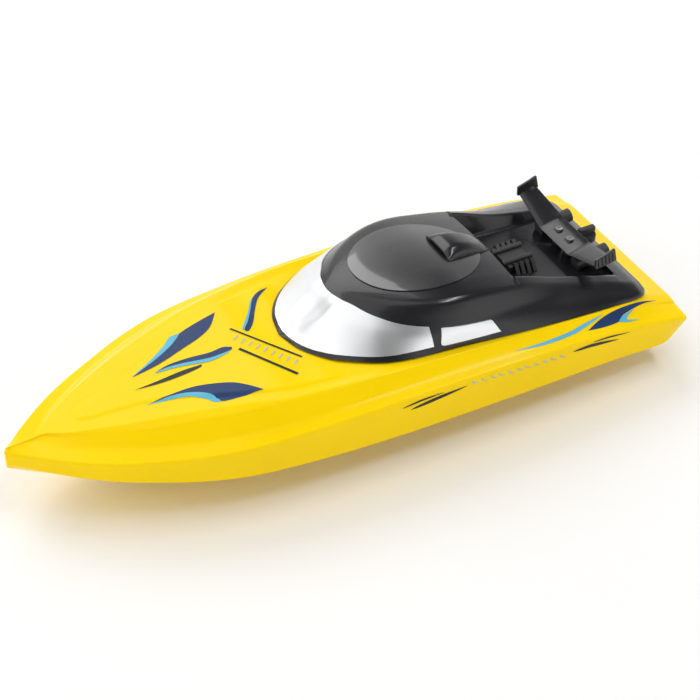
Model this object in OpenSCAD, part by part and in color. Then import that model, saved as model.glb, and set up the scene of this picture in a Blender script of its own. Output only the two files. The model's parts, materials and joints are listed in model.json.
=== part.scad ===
// Radio-controlled racing boat: a two-shell planing hull with a lift-off canopy,
// one motor, a screw propeller in a stern well and a servo-steered rudder.
// X points to the bow, Y to port and Z up. The origin is on the flat keel pad, at half the hull's length.

/* [Hull] */
// Length of the hull from the transom to the bow tip
hull_length = 340; // [300:5:380]
// Greatest width over the sheer
beam = 125; // [115:1:135]
// Height of the sheer above the keel, amidships
hull_depth = 42; // [40:0.5:46]
// Wall thickness of the hull and the deck
wall = 2; // [1.6:0.1:2.4]
// Half width of the flat pad along the keel
pad_half = 8; // [7:0.5:10]

/* [Canopy] */
// Wall thickness of the canopy
canopy_wall = 1.6; // [1.2:0.1:2]
// Half width of the canopy at its base
canopy_half = 46; // [44:0.5:47]
// Gap between the canopy and the deck
canopy_gap = 0.35; // [0.3:0.05:0.6]
// How far the window panels stand out of the canopy
pane = 0.6; // [0.4:0.1:0.8]

/* [Drive] */
// Radius of the propeller
prop_r = 11; // [9:0.5:11]
// Number of propeller blades
blades = 3; // [2:1:4]
// Tilt of the shaft, rising towards the bow
shaft_tilt = 5; // [4:0.5:6]
// Radius of the propeller shaft
shaft_r = 1; // [0.8:0.1:1.2]
// Radius of the motor can
motor_r = 12.2; // [11:0.1:12.2]

/* [Steering] */
// Radius of the rudder stock
stock_r = 1.5; // [1.2:0.1:1.6]
// Distance from a steering arm's axis to its rod hole
arm_r = 8; // [7:0.5:8]

/* [Hidden] */
$fn = 48;

half_length = hull_length / 2;
half_beam = beam / 2;
rise = hull_depth / 42;         // heights in the tables below are for a 42 mm sheer
seam_drop = 1.5;                // the seam runs this far under the sheer's edge
camber = 0.05;                  // how far a nearly flat surface stands up in the middle

// ---- curves: each table lists [share of the length from the transom, value] ----
function piece(t, s, i = 0) = (i >= len(t) - 2 || s <= t[i + 1][0]) ? i : piece(t, s, i + 1);
function slope(t, i) =
    i == 0 ? (t[1][1] - t[0][1]) / (t[1][0] - t[0][0]) :
    i == len(t) - 1 ? (t[i][1] - t[i - 1][1]) / (t[i][0] - t[i - 1][0]) :
    (t[i + 1][1] - t[i - 1][1]) / (t[i + 1][0] - t[i - 1][0]);
function smooth(t, s) = let (i = piece(t, s), h = t[i + 1][0] - t[i][0], u = (s - t[i][0]) / h,
    a = slope(t, i) * h, b = slope(t, i + 1) * h, p = t[i][1], q = t[i + 1][1])
    ((2 * u - 3) * u * u + 1) * p + ((u - 2) * u + 1) * u * a
    + (3 - 2 * u) * u * u * q + (u - 1) * u * u * b;

SHEER_Y = [[0, .975], [.12, .98], [.3, 1], [.5, .985], [.6, .96], [.7, .905], [.77, .8], [.83, .66],
    [.875, .54], [.915, .405], [.943, .29], [.965, .19], [.98, .115], [.992, .055], [1, .02]];
SHEER_Z = [[0, 30], [.05, 33.3], [.12, 37], [.3, 41.4], [.5, 42.3], [.7, 40.3], [.85, 37.6], [1, 36.9]];
CHINE_Z = [[0, 21], [.013, 16.5], [.026, 13.2], [.12, 14.2], [.3, 15.6], [.5, 16.4], [.7, 19.4],
    [.85, 23.3], [.95, 27.5], [1, 29.6]];
KEEL_Z = [[0, 0], [.62, 0], [.7, .5], [.78, 2.2], [.85, 6], [.91, 12], [.96, 19], [1, 27]];
PAD_Y = [[0, 1], [.6, 1], [.75, .8], [.88, .42], [.96, .15], [1, .05]];
// The foot of the raised deck, its crest, and the middle of the deck
FOOT_Y = [[0, .875], [.3, .904], [.56, .89], [.63, .85], [.7, .789], [.767, .68], [.829, .54],
    [.873, .4], [.915, .238], [.944, .1], [.957, .02], [1, .008]];
FOOT_UP = [[0, .6], [.1, 1.5], [1, 1.5]];
CREST_Y = [[0, .79], [.12, .812], [.3, .815], [.45, .8], [.56, .755], [.68, .651], [.76, .528],
    [.82, .416], [.88, .27], [.92, .14], [.943, .03], [.957, .012], [1, .005]];
CREST_Z = [[0, 31.8], [.03, 35], [.07, 40.3], [.12, 42.8], [.3, 47], [.45, 50], [.56, 51], [.68, 50.2],
    [.76, 48.8], [.82, 46.8], [.88, 44.3], [.92, 42], [.943, 40], [.96, 39], [1, 38]];
BED_Z = [[0, 32.6], [.03, 36.6], [.056, 40.6], [.1, 41.6], [.144, 42.5], [.226, 44.5], [.294, 46.5],
    [.365, 48.3], [.45, 49.6], [.5, 50], [.59, 50.3], [.64, 51], [.7, 51], [.76, 50.2], [.82, 48.4],
    [.88, 45.6], [.92, 43], [.943, 41], [.96, 39.6], [1, 38.4]];

function share(x) = (x + half_length) / hull_length;
function along(s) = s * hull_length - half_length;
function sheer_y(s) = smooth(SHEER_Y, s) * half_beam;
function sheer_z(s) = smooth(SHEER_Z, s) * rise;
function chine_y(s) = sheer_y(s) * .935;
function chine_z(s) = smooth(CHINE_Z, s) * rise;
function keel_z(s) = max(0, smooth(KEEL_Z, s)) * rise;
function pad_y(s) = min(smooth(PAD_Y, s) * pad_half, chine_y(s) * .8);
function bed_z(s) = smooth(BED_Z, s) * rise;
function bottom_z(s, y) = let (p = pad_y(s), k = keel_z(s))
    k + max(0, y - p) * (chine_z(s) - k) / (chine_y(s) - p);

// ---- meshes from sections: every section has the same number of points, port to starboard ----
function mirrored(half) = concat(half, [for (i = [len(half) - 2:-1:0]) [half[i][0], -half[i][1], half[i][2]]]);
function flat(list) = [for (row = list) each row];
function apart(a, b) = norm(a - b) > 1e-5;
function sound(p, tris) = [for (t = tris) if (apart(p[t[0]], p[t[1]]) && apart(p[t[1]], p[t[2]])
    && apart(p[t[0]], p[t[2]])) t];
function strip(a, b, n) = flat([for (i = [0:n - 2]) [[a + i, a + i + 1, b + i + 1], [a + i, b + i + 1, b + i]]]);
function flipped(tris) = [for (t = tris) [t[0], t[2], t[1]]];
// an end wall that joins each port point to its starboard twin
function wall_end(a, n) = flat([for (i = [0:(n - 1) / 2 - 1]) let (j = n - 1 - i)
    [[a + i, a + j, a + j - 1], [a + i, a + j - 1, a + i + 1]]]);

// A hollow shell with a wall at each end: open below, or above when it is a bowl
module shell(outer, inner, bowl = false) {
    n = len(outer[0]);
    k = len(outer);
    p = flat(concat(outer, inner));
    m = k * n;
    skin = flat([for (j = [0:k - 2]) strip(j * n, (j + 1) * n, n)]);
    lining = flipped([for (t = skin) t + [m, m, m]]);
    edge = flat([for (j = [0:k - 2]) [
        [j * n, (j + 1) * n, m + (j + 1) * n], [j * n, m + (j + 1) * n, m + j * n],
        [j * n + n - 1, m + (j + 1) * n + n - 1, (j + 1) * n + n - 1],
        [j * n + n - 1, m + j * n + n - 1, m + (j + 1) * n + n - 1]]]);
    e = (k - 1) * n;
    ends = concat(wall_end(0, n), flipped(wall_end(m, n)), flipped(wall_end(e, n)), wall_end(m + e, n));
    lips = [[0, m, m + n - 1], [0, m + n - 1, n - 1], [e, m + e + n - 1, m + e], [e, e + n - 1, m + e + n - 1]];
    tris = sound(p, concat(skin, lining, edge, ends, lips));
    polyhedron(points = p, faces = bowl ? tris : flipped(tris), convexity = 8);
}

// A plate between two matching grids
module slab(top, under) {
    n = len(top[0]);
    k = len(top);
    p = flat(concat(top, under));
    m = k * n;
    skin = flat([for (j = [0:k - 2]) strip(j * n, (j + 1) * n, n)]);
    lining = flipped([for (t = skin) t + [m, m, m]]);
    sides = flat([for (j = [0:k - 2]) [
        [j * n, (j + 1) * n, m + (j + 1) * n], [j * n, m + (j + 1) * n, m + j * n],
        [j * n + n - 1, m + (j + 1) * n + n - 1, (j + 1) * n + n - 1],
        [j * n + n - 1, m + j * n + n - 1, m + (j + 1) * n + n - 1]]]);
    e = (k - 1) * n;
    ends = flat([for (i = [0:n - 2]) [
        [i, m + i + 1, i + 1], [i, m + i, m + i + 1],
        [e + i, e + i + 1, m + e + i + 1], [e + i, m + e + i + 1, m + e + i]]]);
    tris = sound(p, concat(skin, lining, sides, ends));
    polyhedron(points = p, faces = flipped(tris), convexity = 6);
}

// ---- lower hull ----
well_front = -136;      // the stern well's front wall
well_half = 30;
well_roof = 23.4;
STERN = [along(0), along(.013), along(.026), well_front - .6];
function hull_stations() = concat(STERN, [well_front], [for (s = [.14:.06:.62]) along(s)],
    [for (s = [.66, .7, .74, .78, .815, .85, .88, .91, .935, .957, .975, .988, .996, 1]) along(s)]);
function hull_half(x, well) = let (s = share(x), p = pad_y(s), k = keel_z(s), c = chine_y(s),
    q = p + (c - p) * .5)
    [[x, sheer_y(s), sheer_z(s) - seam_drop],
        [x, (sheer_y(s) + c) / 2, (sheer_z(s) - seam_drop + chine_z(s)) / 2],
        [x, c, chine_z(s)], [x, c - 2.2 * min(1, c / 20), chine_z(s) - .4],
        well ? [x, well_half + 2, max(bottom_z(s, well_half + 2), chine_z(s) - 4)] : [x, q, bottom_z(s, q)],
        well ? [x, well_half, well_roof] : [x, p, k], [x, 0, well ? well_roof + camber : k + (s > .9 ? camber : 0)]];
function hull_half_in(x, well) = let (s = share(x), p = pad_y(s), c = chine_y(s), t = wall, q = p + (c - p) * .5,
    thin = max(.35, c - 1.2 * t) / max(.4, c), b = sheer_z(s) - seam_drop,
    lift = min(1.15 * t, (b - keel_z(s)) * .6))
    [[x, max(sheer_y(s) - t, .3), b],
        [x, max((sheer_y(s) + c) / 2 - t, .28), (b + chine_z(s)) / 2],
        [x, c * thin, min(chine_z(s) + .6 * t, b - .6)],
        [x, (c - 2.2 * min(1, c / 20)) * thin, min(chine_z(s) + .6 * t - .2, b - .8)],
        well ? [x, well_half + 2 + t, max(bottom_z(s, well_half + 2), chine_z(s) - 4) + t]
            : [x, q * thin, min(bottom_z(s, q * thin) + 1.05 * t, b - 1)],
        well ? [x, well_half + t, well_roof + t] : [x, p * thin, keel_z(s) + (s > .6 ? lift : t)],
        [x, 0, (well ? well_roof + t : keel_z(s) + (s > .6 ? lift : t)) + camber]];
function inner_x(x) = x < well_front ? max(x, -half_length + wall) + (x > -half_length + 12 ? wall : 0)
    : min(x + (x < well_front + 1 ? wall : 0), half_length - 7 + (x - half_length) * .12);

module lower_hull() {
    xs = hull_stations();
    color("gold") difference() {
        union() {
            shell([for (x = xs) mirrored(hull_half(x, x < well_front))],
                [for (x = xs) mirrored(hull_half_in(inner_x(x), x < well_front))], bowl = true);
            translate([rudder_x, 0, well_roof + .5]) cylinder(r = 5, h = wall + 1);
        }
        drive() translate([-30, 0, 0]) rotate([0, 90, 0]) cylinder(r = tube_r, h = 60);
        translate([rudder_x, 0, well_roof - 2]) cylinder(r = rudder_tube_r, h = 12);
        for (side = [-1, 1]) contact_place(side) translate([0, 0, -5]) cylinder(r = 1.2, h = 12);
        drain_place() cylinder(r = drain_r, h = 12, center = true);
    }
}

// ---- upper deck ----
hatch_rear = -76;
hatch_front = -2;
hatch_half = 30;
rim_top = 53;
function deck_stations() = concat([for (s = [0, .015, .03, .045, .056, .07, .09, .12, .16, .2, .25, .3,
    .35, .4, .45, .5, .54, .58, .61, .64, .68, .72, .76, .79, .82, .85, .88, .905, .925, .943, .957, .97,
    .982, .992, .998]) along(s)]);
function crown(s) = smooth([[0, 0], [.56, 0], [.62, .5], [.75, 1], [.9, .3], [1, 0]], s);
function deck_half(x) = let (s = share(x), y = sheer_y(s), f = smooth(FOOT_Y, s) * half_beam,
    c = smooth(CREST_Y, s) * half_beam, zs = sheer_z(s), zc = smooth(CREST_Z, s) * rise, zb = bed_z(s))
    [[x, y, zs - seam_drop], [x, y - .35 * min(1, y / 4), zs - .3], [x, max(y - 1.1, y * .6), zs],
        [x, max(min(f, y * .58), f), zs + smooth(FOOT_UP, s)],
        [x, c + (f - c) * .12, zc - .7 * min(1, c / 3)], [x, c, zc],
        [x, c * .94, zc - (zc - zb) * .6], [x, c * .9, zb - crown(s) * .3], [x, c * .45, zb - crown(s) * .1],
        [x, 0, zb + camber]];
function deck_half_in(x) = let (s = share(x), y = sheer_y(s), f = smooth(FOOT_Y, s) * half_beam,
    c = smooth(CREST_Y, s) * half_beam, zs = sheer_z(s), zc = smooth(CREST_Z, s) * rise, zb = bed_z(s),
    t = wall, g = min(1, y / 16))
    [[x, y - t * .9 * g - .15, zs - seam_drop], [x, y - t * g - .2, zs - seam_drop * .9],
        [x, max(y - t * g - .9, y * .5), zs - seam_drop * .75],
        [x, f * .985 - .3 * g, zs + smooth(FOOT_UP, s) - t * .8], [x, max(c - t * .2, c * .9) * .985, zc - t - 1],
        [x, c * .96, zc - t - .4], [x, c * .9, min(zc, zb) - t - .2], [x, c * .85, zb - crown(s) * .3 - t],
        [x, c * .42, zb - crown(s) * .1 - t], [x, 0, zb - t + camber]];

function deck_inner_x(x) = x < 0 ? max(x, -half_length + wall + (x + half_length) * .02)
    : min(x, half_length - 11 + (x - half_length) * .1);

module hatch_outline(grow) {
    round_r = 14;
    offset_x = (hatch_rear + hatch_front) / 2;
    translate([offset_x, 0])
    hull() for (i = [-1, 1], j = [-1, 1])
        translate([i * ((hatch_front - hatch_rear) / 2 - round_r), j * (hatch_half - round_r)])
            circle(r = round_r + grow, $fn = 40);
}

module upper_deck() {
    xs = deck_stations();
    color("gold") difference() {
        union() {
            shell([for (x = xs) mirrored(deck_half(x))], [for (x = xs) mirrored(deck_half_in(deck_inner_x(x)))]);
            translate([0, 0, 43]) linear_extrude(rim_top - 43) hatch_outline(2);
            for (side = [-1, 1]) translate([peg_x, side * peg_y, 44]) cylinder(r = 4, h = 5);
        }
        translate([0, 0, 30]) linear_extrude(40) hatch_outline(0);
        for (side = [-1, 1]) translate([peg_x, side * peg_y, 40]) cylinder(r = peg_r + .1, h = 20);
        translate([latch_x, 0, 30]) cylinder(r = latch_pin_r + .1, h = 20);
        translate([switch_x, 0, 40]) cube([10.4, 5.4, 30], center = true);
    }
}

module hatch_seal() color("dimgray") translate([0, 0, rim_top]) linear_extrude(1.4)
    difference() { hatch_outline(2.2); hatch_outline(.2); }

// ---- canopy ----
BASE_Y = [[.044, 44], [.052, 47], [.06, 48.2], [.074, 49], [.144, 50], [.226, 49.6], [.306, 48.3], [.365, 47],
    [.44, 45.4], [.48, 42.2], [.515, 35.6], [.55, 26], [.574, 13.5], [.583, .8]];
WAIST_Y = [[.044, 42.5], [.06, 45.5], [.12, 43], [.176, 41], [.265, 41.8], [.353, 43.4], [.4, 41], [.441, 34.5],
    [.475, 24], [.5, 11], [.53, 10], [.56, 6], [.583, .5]];
WAIST_Z = [[.044, 41.6], [.06, 43.5], [.12, 48], [.176, 52], [.265, 56.2], [.353, 59.5], [.441, 63.4],
    [.475, 66.4], [.5, 68.9], [.53, 62.2], [.56, 55.4], [.583, 51.2]];
EDGE_Y = [[.044, 38], [.06, 40], [.12, 36.5], [.2, 35], [.3, 36.5], [.353, 37], [.4, 33.5], [.441, 26],
    [.475, 16], [.5, 6], [.53, 5], [.56, 3], [.583, .3]];
EDGE_Z = [[.044, 42.4], [.06, 45], [.12, 50], [.176, 55.2], [.25, 63.4], [.33, 68.8], [.38, 70.6], [.441, 71],
    [.475, 70.8], [.5, 69.6], [.53, 62.6], [.56, 55.7], [.583, 51.3]];
ROOF_Z = [[.044, 42.6], [.06, 45.4], [.12, 51], [.176, 56.6], [.25, 66], [.33, 71.6], [.38, 73.2], [.43, 73.6],
    [.475, 72.6], [.5, 70], [.53, 62.9], [.56, 55.9], [.583, 51.4]];
bay_rear = .075;
bay_front = .25;
function base_z(s) = max(smooth(CREST_Z, s) * rise, bed_z(s)) + canopy_gap;
function base_y(s) = smooth(BASE_Y, s) * canopy_half / 46;
function waist_y(s) = min(smooth(WAIST_Y, s), base_y(s) * .98);
function edge_y(s) = min(smooth(EDGE_Y, s), waist_y(s) * .9);
function bay_z(s) = smooth([[.044, 42.6], [.075, 44.6], [.16, 48], [.25, 51]], s);
function canopy_half_line(s, open, out) = let (b = base_y(s), zb = base_z(s), w = waist_y(s),
    zw = max(smooth(WAIST_Z, s), zb + .3) , e = edge_y(s), ze = max(smooth(EDGE_Z, s), zw + .15),
    zr = max(smooth(ROOF_Z, s), ze + .1), x = along(s), f = min(1, b / 12), o = out * f)
    [[x, b + o, zb], [x, b + (w - b) * .3 + .6 * f + o, zb + (zw - zb) * .32],
        [x, b + (w - b) * .64 + .7 * f + o, zb + (zw - zb) * .68 + out * .2],
        [x, w + o * .9, zw + out * .5], [x, e + (w - e) * .45 + o * .6, ze - (ze - zw) * .4 + out * .8],
        [x, e + o * .3, ze + out], [x, e * .84, (open ? zr - .2 : ze + (zr - ze) * .3) + out],
        [x, e * .72, (open ? bay_z(s) : ze + (zr - ze) * .5) + out],
        [x, e * .4, (open ? bay_z(s) - .3 : ze + (zr - ze) * .84) + out], [x, 0, (open ? bay_z(s) - .3 : zr) + out]];
function canopy_half_in(x0, s, open, t) = let (p = canopy_half_line(s, open, 0), f = min(1, p[0][1] / 12),
    zb = p[0][2])
    [for (i = [0:9]) let (q = p[i], dy = open && (i == 6 || i == 7) ? t * .8 : i > 5 ? 0 : -t * f,
        dz = i == 0 ? 0 : i < 4 ? -t * .25 : -t)
        [x0, max(q[1] + dy, i == 9 ? 0 : (9 - i) * .02), i == 0 ? zb : max(q[2] + dz, zb + .02 * i)]];
function canopy_shares() = [.044, .05, .06, .075, .0765, .1, .13, .16, .19, .22, .2485, .25, .28, .31, .34, .365,
    .39, .415, .44, .458, .475, .49, .5, .515, .53, .545, .56, .572, .579, .583];
function is_open(s) = s > bay_rear + .001 && s < bay_front - .001;
function inner_share(s) = s < .046 ? s + canopy_wall / hull_length : min(s, .5755 + (s - .583) * .3);

module canopy_solid(out) {
    rows = [for (s = canopy_shares()) mirrored(canopy_half_line(s, is_open(s), out))];
    low = [for (row = rows) [for (p = row) [p[0], p[1], 30]]];
    slab(rows, low);
}
module canopy_skin() difference() {
    rows = [for (s = canopy_shares()) mirrored(canopy_half_line(s, is_open(s), pane))];
    low = [for (s = canopy_shares()) mirrored(canopy_half_line(s, is_open(s), 0))];
    slab(rows, low);
}
module canopy() color([.06, .06, .07]) difference() {
    union() {
        shell([for (s = canopy_shares()) mirrored(canopy_half_line(s, is_open(s), 0))],
            [for (s = canopy_shares()) let (i = inner_share(s))
                mirrored(canopy_half_in(along(i), i, is_open(s), canopy_wall))]);
        intersection() {
            for (side = [-1, 1]) translate([peg_x, side * peg_y, 51.5]) cylinder(r = 3, h = 30);
            canopy_solid(0);
        }
    }
    for (side = [-1, 1]) translate([peg_x, side * peg_y, 45]) cylinder(r = peg_r, h = 8);
    translate([latch_x, 0, 30]) cylinder(r = latch_pin_r + .05, h = 30);
    for (side = [-1, 1]) translate([wing_x, side * screw_y, 40]) cylinder(r = 1.2, h = 20);
}

screen_rear = along(.408);
module brow() linear_extrude(120) polygon(concat(
    [for (s = [.36, .4, .42, .44, .458, .475, .49, .5]) [along(s), waist_y(s) - .4]], [[along(.507), 0]],
    [for (s = [.5, .49, .475, .458, .44, .42, .4, .36]) [along(s), -waist_y(s) + .4]]));
module windscreen() color([.85, .87, .9]) intersection() {
    difference() { canopy_skin(); brow(); }
    translate([screen_rear, -60, 53.2]) cube([80, 120, 40]);
}
module side_window() rotate([90, 0, 0]) translate([0, 0, -60]) linear_extrude(60)
    polygon([[along(.301), 50.4], [along(.312), 56.6], [along(.392), 60.2], [along(.398), 53.4], [along(.39), 52.4]]);
module side_window_port() color([.85, .87, .9]) intersection() { canopy_skin(); side_window(); }
module side_window_starboard() color([.85, .87, .9]) intersection() {
    canopy_skin();
    mirror([0, 1, 0]) side_window();
}
cap_x = -46.2;                  // middle, half length and half width of the cap's oval
cap_long = 34;
cap_half = 27;
module roof_cap() color([.1, .1, .11]) intersection() {
    canopy_skin();
    translate([cap_x, 0, 60]) scale([cap_long, cap_half, 1]) cylinder(r = 1, h = 40, $fn = 56);
}

module slice(x, half, low, high) translate([x, -half, low]) cube([.1, 2 * half, high - low]);
module hood_scoop() color([.08, .08, .09]) difference() {
    union() {
        hull() { slice(along(.312), 9.5, 66, 75.6); slice(along(.25), 7, 56, 69); }
        hull() { slice(along(.25), 7, 56, 69); slice(along(.225), 4, 46, 53); }
        hull() { slice(along(.326), 11, 66, 74.4); slice(along(.312), 9.5, 66, 75.6); }
    }
    hull() { slice(along(.33), 9.6, 60, 73.2); slice(along(.285), 6.5, 60, 72.4); }
    canopy_solid(pane);
}
module engine_vent() color([.15, .15, .16]) difference() {
    union() {
        translate([along(.175), -9, 44]) cube([14, 18, 8.5]);
        for (side = [-1, 1], i = [0:3]) translate([along(.178) + 3.2 * i, side * 9, 50])
            rotate([side * 35, 0, 0]) cube([2, 5, 7], center = true);
        for (side = [-1, 1]) translate([along(.175) - 1, side * 5, 53]) rotate([0, 90, 0])
            cylinder(r = 1.4, h = 17);
    }
    canopy_solid(0);
}
module exhaust_tips() color([.2, .2, .21]) difference() {
    for (side = [-1, 1]) translate([along(.062), side * 17, 51]) rotate([0, 98, 0]) difference() {
        cylinder(r = 3.6, h = 19);
        translate([0, 0, -1]) cylinder(r = 2.6, h = 6);
    }
    canopy_solid(0);
}

wing_x = along(.104);
screw_y = 5;
wing_z = 53;
function wing_rise(y) = let (a = abs(y)) a < 13 ? .01 * a : .13 + (a - 13) * .3;
module wing_section(y, front, rear) translate([wing_x, y, wing_z + wing_rise(y)]) rotate([0, 9, 0]) {
    translate([front, 0, -.5]) cube([.1, .1, 1]);
    translate([-rear, 0, -.7]) cube([.1, .1, 1.4]);
    translate([0, 0, -1]) cube([.1, .1, 2]);
}
module spoiler_wing() color([.07, .07, .08]) difference() {
    union() {
        for (side = [-1, 1]) {
            hull() { wing_section(side * 13 - .05, 6.5, 7.5); wing_section(-.05, 6, 8); }
            hull() { wing_section(side * 13 - .05, 6.5, 7.5); wing_section(side * 36 - .05, 5.5, 5); }
            translate([wing_x, side * 36, wing_z + 9]) rotate([90, 9, 0]) linear_extrude(1.4, center = true)
                polygon([[-6.5, -3.6], [6.5, -3.2], [5.5, 2.4], [-6, 4.4]]);
        }
    }
    for (side = [-1, 1]) translate([wing_x, side * screw_y, wing_z - 5]) {
        cylinder(r = 1.05, h = 12);
        translate([0, 0, 5.8]) cylinder(r = 2.2, h = 6);
    }
}
module spoiler_struts() color([.12, .12, .13]) difference() {
    for (side = [-1, 1]) translate([wing_x, side * screw_y, 43]) cylinder(r = 3, h = 12);
    translate([wing_x, 0, wing_z]) rotate([0, 9, 0]) translate([-20, -13, -1]) cube([40, 26, 10]);
    for (side = [-1, 1]) translate([wing_x, side * screw_y, 40]) cylinder(r = 1, h = 20);
    canopy_solid(0);
}
module spoiler_screws() color("silver") for (side = [-1, 1])
    translate([wing_x, side * screw_y, wing_z]) difference() {
        union() {
            translate([0, 0, .8]) cylinder(r = 1.9, h = 1.3);
            translate([0, 0, -8]) cylinder(r = 1, h = 9);
        }
        for (a = [0, 90]) translate([0, 0, 2]) rotate([0, 0, a]) cube([2.6, .5, 1.2], center = true);
    }
peg_x = along(.5) + 4;          // clear of the hatch rim
peg_y = 22;
peg_r = 1.8;
module canopy_pegs() color("black") for (side = [-1, 1]) translate([peg_x, side * peg_y, 46]) {
    cylinder(r = peg_r, h = 7);
    cylinder(r1 = 1.2, r2 = peg_r, h = 1.2);
}
latch_x = along(.064);
latch_pin_r = 2;
module latch_knob() color([.1, .1, .11]) translate([latch_x, 0, 0]) difference() {
    union() {
        translate([0, 0, 34.4]) cylinder(r = latch_pin_r, h = 14);
        translate([0, 0, 47.2]) cylinder(r = 5, h = 2.6);
        translate([0, 0, 51.3]) cube([9, 2.6, 5], center = true);
    }
    translate([0, 0, 34]) cylinder(r = .7, h = 6);
}

// ---- drive ----
prop_x = -147;
prop_z = 11.8;
tube_r = 2.4;
rudder_tube_r = 2.6;
motor_at = 96;
motor_length = 30;
module drive() translate([prop_x, 0, prop_z]) rotate([0, -shaft_tilt, 0]) children();
module rod(from, to, r) translate([from, 0, 0]) rotate([0, 90, 0]) cylinder(r = r, h = to - from);

module propeller() color("firebrick") drive() difference() {
    union() {
        rod(-4, 4, 3);
        for (i = [0:blades - 1]) rotate([i * 360 / blades, 0, 0]) translate([0, 0, 2]) rotate([0, 0, 32])
            intersection() {
                rotate([0, 90, 0]) translate([-(prop_r - 2) / 2 - .6, 0, -.45])
                    scale([(prop_r - 2) / 2 + .6, 4, 1]) cylinder(r = 1, h = .9);
                cylinder(r = 5, h = 30);
            }
    }
    rod(-6, 6, shaft_r);
    difference() { rod(-9, 9, prop_r + 9); rod(-10, 10, prop_r); }
}
module prop_nut() color("silver") drive() difference() {
    translate([-6.4, 0, 0]) rotate([0, 90, 0]) cylinder(r = 2.2, h = 2.4, $fn = 6);
    rod(-7, -3, shaft_r);
}
module prop_shaft() color("lightgray") drive() rod(-6.6, 81, shaft_r);
module stuffing_tube() color("darkgoldenrod") drive() difference() {
    rod(6, 68, tube_r);
    rod(5, 69, tube_r - .6);
}
module shaft_bushes() color("peru") drive() for (u = [4.6, 62]) difference() {
    union() {
        rod(u + 1.4, u + 6, tube_r - .6);
        if (u < 10) rod(u, u + 1.4, tube_r);
        else rod(u + 6, u + 7.4, tube_r);
    }
    rod(u - 1, u + 9, shaft_r + .05);
}
module coupling() color("silver") drive() difference() {
    rod(74, 91, 4);
    rod(73, 81, shaft_r);
    rod(81, 92, 1.15);
    for (u = [77.5, 87.5]) translate([u, 0, 1]) cylinder(r = 1, h = 5);
}
module coupling_screws() color([.2, .2, .2]) drive() for (u = [77.5, 87.5]) difference() {
    translate([u, 0, 1.15]) cylinder(r = 1, h = 2.6);
    translate([u, 0, 3]) cylinder(r = .5, h = 2, $fn = 6);
}
module motor_shaft() color("lightgray") drive() rod(81.2, motor_at + motor_length - 2, 1.15);
module motor_can() color("silver") drive() difference() {
    union() {
        rod(motor_at, motor_at + motor_length - 5, motor_r);
        rod(motor_at - 2.2, motor_at, 4);
    }
    rod(motor_at + 1.2, motor_at + motor_length, motor_r - 1);
    rod(motor_at - 4, motor_at + 4, 1.2);
    for (a = [0, 180]) rotate([a, 0, 0]) translate([motor_at - 1, 8, 0]) rotate([0, 90, 0]) cylinder(r = 1.2, h = 4);
}
module motor_magnets() color("dimgray") drive() difference() {
    rod(motor_at + 4, motor_at + motor_length - 8, motor_r - 1);
    rod(motor_at + 2, motor_at + motor_length, motor_r - 3.2);
    translate([motor_at, -20, -3]) cube([motor_length, 40, 6]);
}
module motor_armature() color("sienna") drive() difference() {
    rod(motor_at + 5, motor_at + motor_length - 9, motor_r - 3.7);
    rod(motor_at, motor_at + motor_length, 1.15);
    for (a = [0:120:240]) rotate([a, 0, 0]) translate([motor_at, -.8, 5]) cube([motor_length, 1.6, 10]);
}
module motor_end_cap() color([.1, .1, .1]) drive() difference() {
    union() {
        rod(motor_at + motor_length - 5, motor_at + motor_length, motor_r);
        rod(motor_at + motor_length - 6.5, motor_at + motor_length - 5, motor_r - 1.05);
    }
    rod(motor_at + motor_length - 8, motor_at + motor_length - 1.5, 1.2);
    rod(motor_at + motor_length - 7, motor_at + motor_length - 3, motor_r - 3);
}
module motor_mount() color([.12, .12, .13]) difference() {
    union() {
        drive() translate([motor_at - 2, -15, -14]) cube([2, 30, 27]);
        translate([along(.33), -17, wall]) cube([34, 34, 7]);
        for (side = [-1, 1]) translate([along(.33), side * 15.5 - 1.5, wall]) cube([34, 3, 16]);
    }
    drive() rod(motor_at - 5, motor_at, 4);
    drive() rod(motor_at, motor_at + motor_length + 20, motor_r + .02);
    drive() for (a = [0, 180]) rotate([a, 0, 0]) translate([motor_at - 4, 8, 0]) rotate([0, 90, 0])
        cylinder(r = 1.3, h = 4);
    hull_below();
}
module motor_screws() color("silver") drive() for (a = [0, 180]) rotate([a, 0, 0]) translate([0, 8, 0]) {
    rod(motor_at - 3.4, motor_at - 2, 2);
    rod(motor_at - 2, motor_at + 1.2, 1.2);
}
// Everything under the hull's inner floor, to trim the parts that stand on it
module hull_below() {
    xs = [for (x = hull_stations()) if (x >= well_front) x];
    rows = [for (x = xs) mirrored([for (p = hull_half_in(inner_x(x), false)) p])];
    slab(rows, [for (row = rows) [for (p = row) [p[0], p[1] * 1.2, -9]]]);
}

// ---- steering ----
rudder_x = -162;
servo_x = -112;
arm_z = 28.1;
arm_t = 2;
servo_y = 16;
module rudder_blade() color([.1, .1, .11]) difference() {
    translate([rudder_x, 0, 2.5]) linear_extrude(18.5) polygon([[5, 0], [3, 1.6], [0, 2.3], [-7.4, .5],
        [-7.4, -.5], [0, -2.3], [3, -1.6]]);
    translate([rudder_x, 0, 5]) cylinder(r = stock_r, h = 30);
}
module rudder_stock() color("silver") translate([rudder_x, 0, 5]) cylinder(r = stock_r, h = 26.6);
module rudder_tube() color("darkgoldenrod") translate([rudder_x, 0, 21.5]) difference() {
    cylinder(r = rudder_tube_r, h = 6.5);
    translate([0, 0, -1]) cylinder(r = stock_r + .05, h = 12);
}
module arm(r) difference() {
    hull() {
        cylinder(r = 3.4, h = arm_t, $fn = 32);
        translate([0, -arm_r, 0]) cylinder(r = 2, h = arm_t, $fn = 32);
    }
    translate([0, 0, -1]) cylinder(r = r, h = 5);
    translate([0, -arm_r, -1]) cylinder(r = .85, h = 5);
}
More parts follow.
